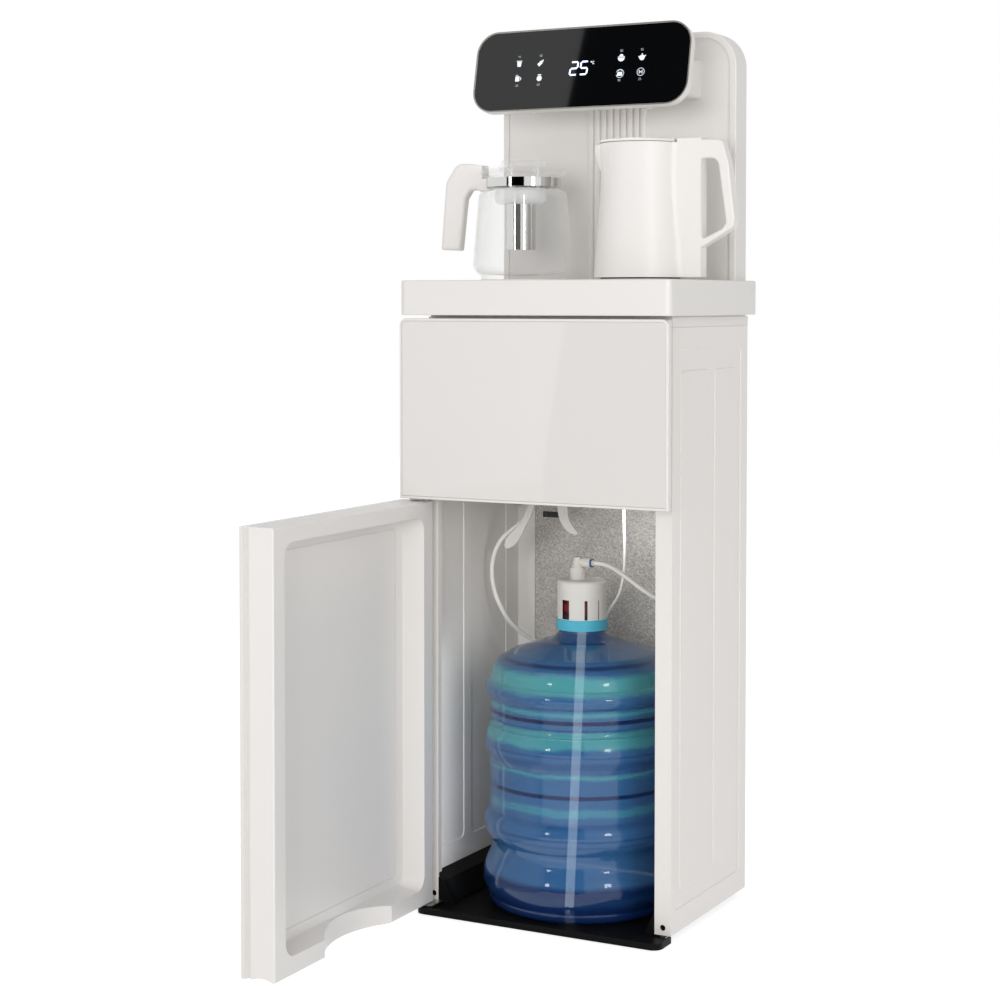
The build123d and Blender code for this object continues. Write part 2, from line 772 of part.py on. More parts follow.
def kettle_liner():
    z0 = liner_floor()
    top = (kettle_side(0) @ 1).Y - 2
    r0, r1 = kettle_mid_r - kettle_wall - 3.5, kettle_top_r - kettle_wall - 1.2
    cup = make_face(Polyline(
        (0, z0), (r0 - 4, z0), (r0, z0 + 4), (r1, top), (r1 - 0.8, top), (r0 - 0.8, z0 + 4.4), (r0 - 4.2, z0 + 1),
        (0, z0 + 1), close=True))
    return turned(cup, kettle_at)


def cover_z():
    return plate_top + connector_h - socket_engaged


def socket_roof():
    return plate_top + connector_h + 3.6


def liner_floor():
    return socket_roof() + 2.4


def socket_radius():
    return connector_r + socket_engaged / tan(radians(lift_angle)) + 2.8


def kettle_base_cover():
    # bottom cover with its foot ring and the socket over the connector
    z0 = cover_z()
    r = kettle_foot_r - kettle_wall - 0.4
    socket_r = socket_radius()
    body = pipe(r, r - socket_r, z0, z0 + 3, *kettle_at)
    body += pipe(r - 6, 4, plate_top, z0 + 1, *kettle_at)
    body += pipe(socket_r + 3, 3, z0, liner_floor(), *kettle_at)
    body += rod(socket_r + 1, socket_roof(), liner_floor(), *kettle_at)
    return body


def spine_section(r, z):
    # blend between a shell of radius r and the handle's straight sides
    w = grip_w_kettle / 2 - 0.02
    grip_r = r - 0.3
    reach = grip_r + spine_blend
    cy = w + spine_blend
    cx = sqrt(reach**2 - cy**2)
    x, y = cx * grip_r / reach - kettle_top_r, cy * grip_r / reach
    turn = (atan2(cy, cx) + pi / 2) / 2
    bend_x = cx - kettle_top_r - spine_blend * cos(turn)
    bend_y = cy - spine_blend * sin(turn)
    start = cx - kettle_top_r
    face = make_face([
        Line((x - 9, -y), (x - 9, y)), Line((x - 9, y), (x, y)), ThreePointArc((x, y), (bend_x, bend_y), (start, w)),
        Line((start, w), (start + 3, w)), Line((start + 3, w), (start + 3, -w)), Line((start + 3, -w), (start, -w)),
        ThreePointArc((start, -w), (bend_x, -bend_y), (x, -y)), Line((x, -y), (x - 9, -y))])
    return Plane.XY.offset(z) * face


def kettle_handle():
    # drawn with x measured from the shell's top radius
    x, y = kettle_at
    w = grip_w_kettle / 2
    z0 = skirt_z
    top = plate_top + kettle_h
    # spine against the body, blended into the shell down its whole height
    side = kettle_side(0)
    stops = [side @ share for share in (0, 0.33, 0.66, 1)]
    body = loft([spine_section(stop.X, stop.Y) for stop in stops] + [spine_section(stops[-1].X, top)])
    body += block(-4, 38.5, -w, w, z0, top)
    loop = rounded(
        [(5.5, top - 0.3), (67.9, top - 3), (77, top - 32), (86.3, z0 + 78), (84.3, z0 + 66.5),
         (26.6, z0 + 32.6), (5.5, z0 + 19.7)],
        [0, 9, 60, 6, 6, 0, 0])
    window = rounded(
        [(37.5, top - 27.4), (61.7, top - 27.4), (74.3, z0 + 72), (68.5, z0 + 64.5), (39.5, z0 + 50.5)],
        [4, 12, 6, 6, 3])
    grip = slab_y(loop, -w, w) - slab_y(window, -w - 1, w + 1)
    grip = fillet(grip.edges().filter_by(lambda e: e.center().X > 45.5 and abs(abs(e.center().Y) - w) < 0.01), 3.0)
    body += grip
    body = Pos(x + kettle_top_r, y, 0) * body
    seat = (kettle_side(0) @ 1).Y
    # clear of the lid and its hinge
    body -= rod(kettle_rim_r + 3.5, seat, top + 5, *kettle_at)
    body -= block(x, x + lid_hinge_r + 8, y - 13, y + 13, seat, top + 5)
    return body - kettle_solid()


def kettle_lid():
    x, y = kettle_at
    z0 = lid_seam
    top = plate_top + kettle_h
    cap = make_face([
        Line((0, z0), (kettle_top_r + 0.6, z0)), Line((kettle_top_r + 0.6, z0), (kettle_rim_r, z0 + 1.4)),
        Line((kettle_rim_r, z0 + 1.4), (kettle_rim_r - 0.6, z0 + 3.2)),
        TangentArc((0, top + 3.4), (kettle_rim_r - 0.6, z0 + 3.2), tangent=(1, 0)),
        Line((0, top + 3.4), (0, z0))])
    body = turned(cap, kettle_at)
    plug_r = kettle_top_r - kettle_wall - 3
    body += pipe(plug_r, 2, z0 - 5, z0 + 0.5, *kettle_at)
    # hinge edge: the cap is cut back around its knuckle and the two ears
    pin_x = x + lid_hinge_r + 1.0
    reach = knuckle_half + lug_t + 0.9
    body -= block(pin_x - 3.5, x + 80, y - reach, y + reach, z0 - 0.1, top + 6)
    knuckle = rod_y(2.4, y - knuckle_half, y + knuckle_half, pin_x, lid_pin_z())
    knuckle += block(pin_x - 5, pin_x, y - knuckle_half, y + knuckle_half, lid_pin_z() - 1.6, lid_pin_z() + 1.6)
    pin = rod_y(lid_pin_r, y - reach + 0.4, y + reach - 0.4, pin_x, lid_pin_z())
    return body + knuckle + pin


# --- teapot ---

def teapot_glass():
    z0 = teapot_foot_z
    rim = band_z[1] + 3.2
    n = teapot_neck_r
    outer = [
        Line((0, z0), (teapot_foot_r, z0)), Line((teapot_foot_r, z0), (teapot_foot_r + 1, z0 + 6)),
        ThreePointArc((teapot_foot_r + 1, z0 + 6), (teapot_wide_r - 3.2, z0 + 12), (teapot_wide_r, z0 + 22)),
        Line((teapot_wide_r, z0 + 22), (teapot_shoulder_r + 0.8, z0 + 116)),
        ThreePointArc((teapot_shoulder_r + 0.8, z0 + 116), (teapot_shoulder_r - 3, z0 + 123), (n, z0 + 127)),
        Line((n, z0 + 127), (n, rim - 2)), Line((n, rim - 2), (n + 5.5, rim)),
        Line((n + 5.5, rim), (n + 5.5, rim + 2)), Line((n + 5.5, rim + 2), (n - glass_wall, rim + 2)),
    ]
    g = glass_wall
    inner = [
        Line((n - g, rim + 2), (n - g, z0 + 125)),
        ThreePointArc((n - g, z0 + 125), (teapot_shoulder_r - 4.6, z0 + 121), (teapot_shoulder_r + 0.8 - g, z0 + 115.6)),
        Line((teapot_shoulder_r + 0.8 - g, z0 + 115.6), (teapot_wide_r - g, z0 + 22)),
        ThreePointArc((teapot_wide_r - g, z0 + 22), (teapot_wide_r - 5.6, z0 + 12.8), (teapot_foot_r - 1.5, z0 + 7)),
        Line((teapot_foot_r - 1.5, z0 + 7), (0, z0 + 4)), Line((0, z0 + 4), (0, z0)),
    ]
    body = turned(make_face(outer + inner), teapot_at)
    # small pouring notch in the rim, on the +X side
    lip_x = teapot_at[0] + n + 5.5
    beak = make_face(Polyline((-9, -7), (4.5, -2), (4.5, 2), (-9, 7), close=True))
    body += slab_z(Pos(lip_x, teapot_at[1]) * beak, rim, rim + 2) - rod(n - g, rim - 1, rim + 3, *teapot_at)
    return body


def teapot_band():
    n = teapot_neck_r + fit_gap
    return pipe(n + band_t, band_t, *band_z, *teapot_at)


def teapot_handle():
    # drawn with x measured from the neck
    x, y = teapot_at
    w = teapot_grip_w / 2
    r0 = teapot_neck_r + band_t + 2 * fit_gap
    top, foot = band_z[1], teapot_foot_z
    outline = rounded(
        [(6.5, top + 17.5), (-29.8, top + 23), (-51.5, top + 23.5), (-69.3, top - 2.6), (-77.5, foot + 42.8),
         (-46.9, foot + 41.5), (-38.6, top - 27.5), (-30.5, top - 15), (-20.1, top - 14.2), (-14.5, top - 17),
         (6.5, top - 12)],
        [0, 0, 16, 16, 3, 3, 9, 6, 4, 0, 0])
    body = slab_y(outline, -w, w)
    rim = body.edges().filter_by(lambda e: abs(abs(e.center().Y) - w) < 0.01 and e.center().X < -20.5)
    body = fillet(rim, 6.0)
    body = Pos(x - teapot_neck_r, y, 0) * body
    body -= rod(r0, top - 29.5, top + 1.2, x, y)
    body -= rod(teapot_lid_r() + 0.8, top + 1.1, top + 40.5, x, y)
    return body


def teapot_lid_r():
    return teapot_neck_r + 9.0


def teapot_lid():
    z0 = band_z[1] + teapot_lid_lift
    r = teapot_lid_r()
    outline = make_face(Polyline(
        (0, z0 + 17), (12, z0 + 17), (29, z0 + 18.5), (31, z0 + 20), (31, z0 + 17), (31.5, z0 + 14.2), (53, z0 + 9.8),
        (r, z0 + 8), (r, z0), (r - 2.4, z0), (r - 2.4, z0 + 5.6), (52, z0 + 7.2), (30, z0 + 11.4), (0, z0 + 12.5),
        close=True))
    return turned(outline, teapot_at)


def infuser_collar():
    # funnel round the basket's rim and three stems that hang it under the lid
    x, y = teapot_at[0] + infuser_x, teapot_at[1]
    low = infuser_z[1] - 2
    high = low + funnel_h
    roof = band_z[1] + teapot_lid_lift + 11.4
    r, hole, t = funnel_r, infuser_r + 2 * fit_gap, funnel_wall
    body = turned(make_face([
        Line((hole, low), (r - 8, low)), ThreePointArc((r - 8, low), (r - 2.4, low + 2.4), (r, low + 8)),
        Line((r, low + 8), (r, high)), Line((r, high), (r - t, high)), Line((r - t, high), (r - t, low + 8)),
        ThreePointArc((r - t, low + 8), (r - 3.5, low + 3.5), (r - 8, low + t)),
        Line((r - 8, low + t), (hole, low + t)), Line((hole, low + t), (hole, low))]), (x, y))
    for turn in (30, 150, 270):
        a = radians(turn)
        body += rod(2.2, low + 0.5, roof - 0.6, x + (infuser_r + 3) * cos(a), y + (infuser_r + 3) * sin(a))
    return body


def infuser():
    x, y = teapot_at[0] + infuser_x, teapot_at[1]
    z0, z1 = infuser_z
    body = rod(infuser_r, z0, z1 + 10, x, y) - rod(infuser_r - 0.7, z0 + 0.7, z1 + 11, x, y)
    for ring in (6, 12, 17):
        for step in range(ring):
            a = 2 * pi * step / ring
            body -= rod(0.9, z0 - 1, z0 + 2, x + ring * cos(a), y + ring * sin(a))
    return body


# --- bottle and its fittings ---

def bottle_face():
    b, p, n = bottle_r, rib_r, bottle_neck_r
    z = tray_floor
    run = [Line((-10, z), (b - 11.2, z))]

    def arc(middle, end):
        run.append(ThreePointArc(run[-1] @ 1, middle, end))

    def line(end):
        run.append(Line(run[-1] @ 1, end))

    # foot, its swell and the waist above it
    run.append(TangentArc((b - 11.2, z), (b, z + 14.5), tangent=(1, 0)))
    arc((p - 2.0, z + 26), (p, z + 40))
    arc((p - 2.2, z + 54), (b + 1.4, z + 66))
    arc((b - 2.4, z + 77), (b - 1.2, z + 89))
    line((b, z + 93))
    # three broad ribs, with a groove over the middle one
    arc((p - 1, z + 114), (b, z + 137))
    line((b, z + 204))
    arc((p - 2.6, z + 225), (b, z + 250))
    line((b, z + 252))
    arc((b - 3.8, z + 258), (b, z + 264))
    line((b, z + 290))
    arc((p - 2.6, z + 303), (b - 1.7, z + 316))
    line((b - 2.8, z + 324))
    # shoulder and neck
    top = z + bottle_h
    arc((b - 7.2, top - 41.5), (b - 17.2, top - 33))
    line((b - 29.2, top - 25.5))
    line((n + 21.3, top - 10))
    arc((n + 5.5, top - 4.5), (n, top + 2))
    line((n, ring_z[1] - 0.6))
    line((-10, ring_z[1] - 0.6))
    line((-10, z))
    return make_face(run)


def bottle():
    outer = bottle_face()
    inner = offset(outer, amount=-bottle_skin)
    inner = inner + Pos(0, ring_z[1] - 6) * Rectangle(2 * (bottle_neck_r - bottle_skin), 20)
    keep = Pos(200, 200) * Rectangle(400, 480)
    return turned((outer - inner) & keep, bottle_at)


def neck_ring():
    low, high = ring_z[0] + ring_lift, ring_z[1] + ring_lift
    body = pipe(ring_r, ring_r - bottle_neck_r - fit_gap, low, high, *bottle_at)
    body -= rod(cap_r + fit_gap, ring_z[1], high + 1, *bottle_at)
    body = fillet(body.faces().sort_by(Axis.Z)[-1].edges().sort_by(SortBy.LENGTH)[-1:], 0.5)
    # arm that takes the sensor lead
    x, y = lead_end_low[0], lead_end_low[1]
    toward = degrees(atan2(y - bottle_at[1], x - bottle_at[0]))
    arm = Rot(0, 0, toward) * block(ring_r - 1, 46, -3.5, 3.5, low - 3, low + 1)
    body += Pos(bottle_at[0], bottle_at[1], 0) * arm
    return body + rod(3.6, low - 3, lead_end_low[2], x, y)


def straw_line():
    top = Vector(bottle_at[0], bottle_at[1], ring_z[0])
    foot = Vector(*straw_foot)
    return foot, (top - foot).normalized()


def straw_body(extra, grow):
    foot, way = straw_line()
    length = (ring_z[1] + extra - foot.Z) / way.Z
    return extrude(Plane(origin=foot, z_dir=way) * Circle(straw_r + grow), length)


def suction_straw():
    body = straw_body(8, 0)
    foot, way = straw_line()
    body -= extrude(Plane(origin=foot - way, z_dir=way) * Circle(straw_r - 1.2), 500)
    # side notches at the foot let water in
    cut = Pos(*foot) * Box(3, 30, 8)
    return body - cut


def view_angle(offset_angle):
    return radians(26 + offset_angle)


def probe_cap():
    x, y = bottle_at
    z0, z1 = ring_z[1], ring_z[1] + cap_h
    body = rod(cap_r, z0, z1, x, y)
    body = fillet(body.faces().sort_by(Axis.Z)[-1].edges(), 5)
    body -= rod(cap_r - cap_wall, z0 - 1, z1 - 3, x, y)
    low = z0 + ring_lift + 0.6
    for middle, width in ((-43, 14), (9.5, 4.4), (43, 2.8), (120, 4.4), (180, 14), (230, 4.4)):
        turn = Pos(x, y, 0) * Rot(0, 0, degrees(view_angle(middle)))
        body -= turn * block(-width / 2, width / 2, -cap_r - 3, -cap_r + 8, low, low + window_h)
    body += rod(stub_r, z1 - 1, z1 + 16, x + stub_x, y) - rod(stub_r - 3, z1 - 3, z1 + 17, x + stub_x, y)
    return body


def probe_core():
    x, y = bottle_at
    z0, z1 = ring_z[1] + 2, ring_z[1] + cap_h - 3
    body = rod(core_r, z0, z1, x, y)
    for z in (z0 + 12, z0 + 26, z0 + 40):
        body -= pipe(core_r + 1, 3, z, z + 3, x, y)
    body -= rod(5, z1 - 12, z1 + 1, x + stub_x, y)
    return body - straw_body(8, 0)


def elbow_fitting():
    x, y = bottle_at[0] + stub_x, bottle_at[1]
    z0 = ring_z[1] + cap_h + 16
    axis_z = hose_points[0][2]
    tip = hose_points[0][0]
    body = rod(8.4, z0, z0 + 4, x, y) + rod(6.6, z0 + 3, axis_z + 2, x, y) + rod(5, z0 - 12, z0 + 1, x, y)
    body += rod(5.8, axis_z, axis_z + 7.2, x, y)
    body += rod_x(5.4, x, tip - 15, y, axis_z) + rod_x(7.2, tip - 17, tip - 5, y, axis_z)
    return body + rod_x(4.6, tip - 6, tip, y, axis_z)


def elbow_clip():
    # open ring that locks the collet
    x, y, z = hose_points[0]
    ring = rod_x(6.4, x - 4.2, x - 2.6, y, z) - rod_x(4.6 + fit_gap, x - 6, x, y, z)
    return ring - block(x - 6, x, y - 3, y + 3, z + 2, z + 8)


# --- hoses, held only at their ends ---

def cord(name, points, diameter):
    # straight runs joined by arcs as large as the runs allow
    route = [Vector(*point) for point in points]
    runs = [after - before for before, after in zip(route, route[1:])]
    radii = []
    for before, after in zip(runs, runs[1:]):
        half_turn = radians(before.get_angle(after)) / 2
        radii.append(0.45 * min(before.length, after.length) / tan(half_turn))
    path = FilletPolyline(*route, radius=radii)
    body = sweep(Plane(origin=path @ 0, z_dir=path % 0) * Circle(diameter / 2), path)
    expected = pi * diameter**2 / 4 * path.length
    print(name, "radii", [round(radius) for radius in radii], "length", round(path.length, 1))
    print(name, "volume", round(body.volume, 1), "section x length", round(expected, 1))
    return body


def ceiling_fittings():
    hose = rod(hose_gland_r - fit_gap, hose_points[-1][2], pump_z[0], *hose_end)
    hose += rod(hose_gland_r + 3, ceiling_z - 3, ceiling_z, *hose_end)
    hose += rod(hose_gland_r + 3, ceiling_top, ceiling_top + 4, *hose_end)
    lead = rod(lead_gland_r - fit_gap, lead_points[0][2], ceiling_top + 8, *lead_end)
    lead += rod(lead_gland_r + 2.5, ceiling_z - 2.5, ceiling_z, *lead_end)
    return Compound([hose, lead])


def hose_hooks():
    # leaf-shaped strap and a J-shaped hook, both hanging from the ceiling
    # drawn with x from the hose's end and z down from the ceiling
    y0, y1 = hook_y, hook_y + hook_t
    leaf = make_face([
        Line((3, 0), (14, 0)), Spline((14, 0), (7, -20), (2, -33), (-6, -48), (-14, -63), (-25, -78), (-34, -83.3)),
        ThreePointArc((-34, -83.3), (-40.6, -82.4), (-41, -77)),
        Spline((-41, -77), (-33.5, -64), (-19, -51), (-9, -35), (-3.4, -20), (3, 0))])
    hook = make_face([
        Line((43.6, 0), (59, 0)), Spline((59, 0), (59.4, -20), (61, -34), (68.5, -48), (74.3, -55)),
        Line((74.3, -55), (74.3, -57.6)), Spline((74.3, -57.6), (58, -53.4), (47.5, -39), (43.6, -18), (43.6, 0))])
    place = Pos(hose_end[0], 0, ceiling_z)
    strap = place * slab_y(leaf, y0, y1) - rod(hose_gland_r + 3.4, ceiling_z - 5, ceiling_z + 1, *hose_end)
    strap += place * (block(2, 17, -6, y0 - 3, -2, 0) + block(10, 14, -6, y1, -2, 0))
    arm = place * (slab_y(hook, y0, y1) + block(40, 63, y0 - 8, y1, -2, 0))
    return Compound([strap, arm])


def hose_clip():
    y0 = hook_y + hook_t
    body = block(19.7, 54, y0, y0 + 3.5, -35.9, -27.9) - rod_y(1.2, 0, 30, 24, -31.9)
    return Pos(hose_end[0], 0, ceiling_z) * body


# --- upper compartment ---

def cold_tank():
    z0, z1 = tank_z
    tank = rod(tank_r, z0, z1, *tank_at)
    tank = fillet(tank.edges().filter_by(GeomType.CIRCLE), 8)
    tank += rod(line_r + 2, z1 - 2, z1 + 10, *tank_at)
    tank += rod_x(line_r + 2, tank_at[0] - tank_r - 8, tank_at[0] - tank_r + 4, pump_at[1], line_z)
    for x in (-34, 34):
        for y in (-34, 34):
            tank += rod(5, ceiling_top, z0 + 4, tank_at[0] + x, tank_at[1] + y)
    # flat that the cooling block clamps to
    tank += block(tank_at[0] - 20, tank_at[0] + 20, tank_at[1] + 30, tank_at[1] + tank_r + 3, fan_z - 20, fan_z + 20)
    drain = rod_y(4, tank_at[1], flange_back_y - 6, drain_at[0] + 40, drain_at[1] + 8)
    return tank + (drain & block(-200, 200, tank_at[1], tank_at[1] + tank_r + 4, 0, 900))


def instant_heater():
    z0, z1 = heater_z
    body = rod(heater_r, z0, z1, *heater_at)
    body = fillet(body.edges().filter_by(GeomType.CIRCLE), 4)
    body += rod(line_r + 2, z1 - 1, z1 + 8, *heater_at)
    body += rod_y(line_r + 2, heater_at[1] - heater_r - 6, heater_at[1] - heater_r + 5, heater_at[0], line_z)
    body += block(heater_at[0] - 15, heater_at[0] + 15, heater_at[1] - 4, heater_at[1] + 4, ceiling_top, z0 + 4)
    for z in (z0 + 30, z1 - 30):
        body += pipe(heater_r + 1.5, 3, z, z + 10, *heater_at)
    return body


def suction_pump():
    x, y = pump_at
    z0, z1 = pump_z
    head = rod(pump_r, z0, z1, x, y)
    head += rod_x(line_r + 2, x + pump_r - 4, x + pump_r + 6, y, line_z)
    head += rod_y(line_r + 2, y + pump_r - 4, y + pump_r + 6, x, line_z)
    motor = rod(motor_r, z1, z1 + motor_h, x, y)
    motor += rod(6, z1 + motor_h - 1, z1 + motor_h + 4, x, y)
    motor = motor - pipe(motor_r + 1, 2, z1 + 8, z1 + 11, x, y)
    feet = []
    for turn in (60, 180, 300):
        a = radians(turn)
        feet.append(rod(4.5, ceiling_top, z0, x + 18 * cos(a), y + 18 * sin(a)))
    return Compound([head + motor + feet])


def water_line(points, radii):
    path = FilletPolyline(*points, radius=radii)
    return sweep(Plane(origin=path @ 0, z_dir=path % 0) * Circle(line_r), path)


def water_tubes():
    riser_y = column_split
    riser_z = (boss_z[0] + boss_z[1]) / 2
    top = boss_z[0] + boss_wall + 3
    lines = []
    starts = (
        (-1, heater_at, heater_z[1] + 8),
        (1, tank_at, tank_z[1] + 10),
    )
    for side, at, z in starts:
        x = side * nozzle_x
        lines.append(water_line([
            (at[0], at[1], z), (at[0], at[1], z + 34), (x, riser_y, deck_top - 10), (x, riser_y, riser_z),
            (x, nozzle_y, riser_z), (x, nozzle_y, top)], [14, 14, 14, 12]))
    lines.append(rod_x(line_r, pump_at[0] + pump_r + 6, tank_at[0] - tank_r - 8, pump_at[1], line_z))
    lines.append(rod_y(line_r, pump_at[1] + pump_r + 6, heater_at[1] - heater_r - 6, pump_at[0], line_z))
    return Compound(lines)


def heat_sink():
    y0 = tank_at[1] + tank_r + 3
    y1 = shroud_front()
    half = fan_size / 2 - 4
    body = block(tank_at[0] - half, tank_at[0] + half, y0, y0 + 4, fan_z - half, fan_z + half)
    fins = 13
    for index in range(fins):
        x = tank_at[0] - half + 1 + index * (2 * half - 2) / (fins - 1)
        body += block(x - 0.8, x + 0.8, y0 + 3, y1, fan_z - half, fan_z + half)
    return body


def shroud_front():
    return flange_back_y - 25


def fan_shroud():
    y0, y1 = shroud_front(), flange_back_y
    x, half = tank_at[0], fan_size / 2
    body = block(x - half, x + half, y0, y1, fan_z - half, fan_z + half)
    body = fillet(body.edges().filter_by(Axis.Y), 5)
    body -= rod_y(fan_r + 2, y0 - 1, y1 + 1, x, fan_z)
    body += rod_y(13, y1 - 4, y1, x, fan_z)
    for turn in (90, 210, 330):
        body += Pos(x, 0, fan_z) * Rot(0, turn, 0) * block(10, fan_r + 4, y1 - 4, y1 - 1, -3, 3)
    return body + rod_y(2, y0 + 4, y1 - 3, x, fan_z)


def fan_rotor():
    y0, y1 = shroud_front() + 2, flange_back_y - 4.6
    x = tank_at[0]
    hub = rod_y(14, y0, y1, x, fan_z)
    blades = 7
    for index in range(blades):
        blade = Pos(26, 0, 0) * Rot(38, 0, 0) * Box(27, 1.6, 20)
        hub += Pos(x, (y0 + y1) / 2, fan_z) * Rot(0, 360 * index / blades, 0) * blade
    hub = hub & rod_y(fan_r, y0, y1, x, fan_z)
    return hub - rod_y(2 + pin_play, y0 - 1, y1 + 1, x, fan_z)


def power_gland():
    x, z = gland_at
    body = rod_y(gland_r - fit_gap, flange_back_y - 8, back_y + 6, x, z)
    body += rod_y(gland_r + 4, back_y, back_y + 3, x, z)
    nut = Pos(x, flange_back_y, z) * Rot(90, 0, 0) * extrude(RegularPolygon(gland_r + 4, 6), 4)
    return body + nut - rod_y(3.6, flange_back_y - 20, back_y + 10, x, z)


def switch_bezel():
    x, z = switch_at
    hx, hz = switch_half
    body = block(x - hx - 0.5, x + hx + 0.5, back_y - 12, back_y, z - hz - 0.5, z + hz + 0.5)
    body += block(x - hx - 3, x + hx + 3, back_y, back_y + 2, z - hz - 3, z + hz + 3)
    wx, wz = hx - switch_wall, hz - switch_wall
    body -= block(x - wx, x + wx, back_y - 10, back_y + 4, z - wz, z + wz)
    return body - rod_x(1.5 + pin_play, x - hx - 1, x + hx + 1, back_y - 3, z)


def power_switch():
    x, z = switch_at
    hx, hz = switch_half
    wide = hx - switch_wall - 0.4
    tall = hz - switch_wall - 0.9
    key = block(-wide, wide, -3.5, 4.2, -tall, tall)
    key -= Pos(0, 4.2 + 26, 0) * Rot(0, 90, 0) * Cylinder(28, 40)
    key += rod_x(1.5, -hx + 0.3, hx - 0.3, 0, 0)
    return Pos(x, back_y - 3, z) * Rot(rocker_tilt, 0, 0) * key


def drain_cap():
    x, z = drain_at
    body = rod_y(drain_r - fit_gap, flange_back_y - 12, back_y + 2, x, z)
    body += rod_y(drain_r + 4, back_y, back_y + 10, x, z) + rod_y(drain_r + 4, flange_back_y - 3, flange_back_y, x, z)
    for index in range(12):
        turn = Pos(x, 0, z) * Rot(0, 30 * index, 0)
        body -= turn * rod_y(1, back_y + 1, back_y + 11, drain_r + 4.3, 0)
    return body


# --- hinges and door ---

def hinge_brackets():
    zt = ceiling_z - bracket_t
    post_in = half_w - hinge_post_w
    neck = block(-half_w + sheet + 1.8, -post_in + 0.5, front_y - 4, front_y + 32, zt, ceiling_z)
    top = block(hinge_x - 8, -post_in + 0.5, hinge_y - 8, front_y - 2, zt, ceiling_z) + neck
    top = fillet(top.edges().filter_by(Axis.Z).filter_by(lambda e: e.center().Y < hinge_y), 5)
    top += rod(pin_r, door_top - pin_engaged, zt + 0.5, hinge_x, hinge_y)
    z1 = door_bottom - foot_bracket_gap
    z0 = z1 - foot_bracket_t
    low = block(hinge_x - 8, -half_w + 22, hinge_y - 8, front_y - 1, z0, z1)
    low = fillet(low.edges().filter_by(Axis.Z).filter_by(lambda e: e.center().Y < hinge_y), 5)
    low += rod(pin_r, z1 - 0.5, door_bottom + pin_engaged, hinge_x, hinge_y)
    return Compound([top, low])


def door_frame():
    half = door_w / 2
    y0 = door_front + door_glass_t
    body = block(-half, half, y0, door_back, door_bottom, door_top)
    body = fillet(body.faces().sort_by(Axis.Y)[-1].edges(), 2.0)
    floor_y = door_front + recess_floor
    z0, z1 = recess_z
    rim = Pos(0, (z0 + z1) / 2) * RectangleRounded(2 * recess_rim_half, z1 - z0, recess_r)
    slope = degrees(atan2(recess_rim_half - recess_foot_half, door_back - floor_y))
    cup = extrude(Plane.XZ.offset(-door_back) * rim, door_back - floor_y, taper=slope)
    body -= cup
    # embossed line round the recess floor
    zl, zh = door_line_z
    line = Pos(0, (zl + zh) / 2) * RectangleRounded(2 * door_line_half, zh - zl, 10)
    line -= Pos(0, (zl + zh) / 2) * RectangleRounded(2 * door_line_half - 3, zh - zl - 3, 8.5)
    body -= slab_y(line, floor_y - 0.8, floor_y + 1)
    # space for the insulation, and the hollow of the border
    core = recess_foot_half + 2
    body -= block(-core, core, y0 - 1, floor_y - recess_plate, z0 - 4, z1 + 4)
    for x0, x1 in ((-half + 4, -recess_rim_half - 3), (recess_rim_half + 3, half - 10)):
        body -= block(x0, x1, y0 - 1, door_back - 3, door_bottom + 17, door_top - 17)
    # scoop in the lower border that clears the bottle's foot when the door is shut
    body -= rod(rib_r + scoop_gap, door_bottom - 1, z0 + 6, *bottle_at)
    # finger groove down the free edge
    groove = Pos(half, y0 + grip_w / 2) * Ellipse(grip_depth, grip_w / 2)
    body -= slab_z(groove, door_bottom - 1, door_top + 1)
    # shallow arch under the free end
    body -= rod_x(34, half - 26, half + 1, (y0 + door_back) / 2 + 3, door_bottom - 30)
    for z0, z1 in ((door_bottom - 1, door_bottom + bush_h + 4), (door_top - bush_h - 4, door_top + 1)):
        body -= rod(bush_r, z0, z1, hinge_x, hinge_y)
    return swing(body)


def door_glass():
    half = door_w / 2
    pane = block(-half, half, door_front, door_front + door_glass_t, door_bottom, door_top)
    return swing(chamfer(pane.faces().sort_by(Axis.Y)[0].edges(), 0.9))


def door_core():
    core = recess_foot_half + 1.5
    y1 = door_front + recess_floor - recess_plate - fit_gap
    return swing(block(-core, core, door_front + door_glass_t, y1, recess_z[0] - 3.5, recess_z[1] + 3.5))


def door_bushes():
    bushes = []
    for z in (door_bottom, door_top - bush_h):
        bore = rod(pin_r + pin_play, z - 1, z + bush_h + 1, hinge_x, hinge_y)
        bushes.append(rod(bush_r, z, z + bush_h, hinge_x, hinge_y) - bore)
    return swing(Compound(bushes))


def door_magnets():
    x = door_w / 2 - 15
    magnets = [block(x - 4.5, x + 4.5, door_back - 9, door_back - 3, z - 20, z + 20) for z in (150, 440)]
    return swing(Compound(magnets))


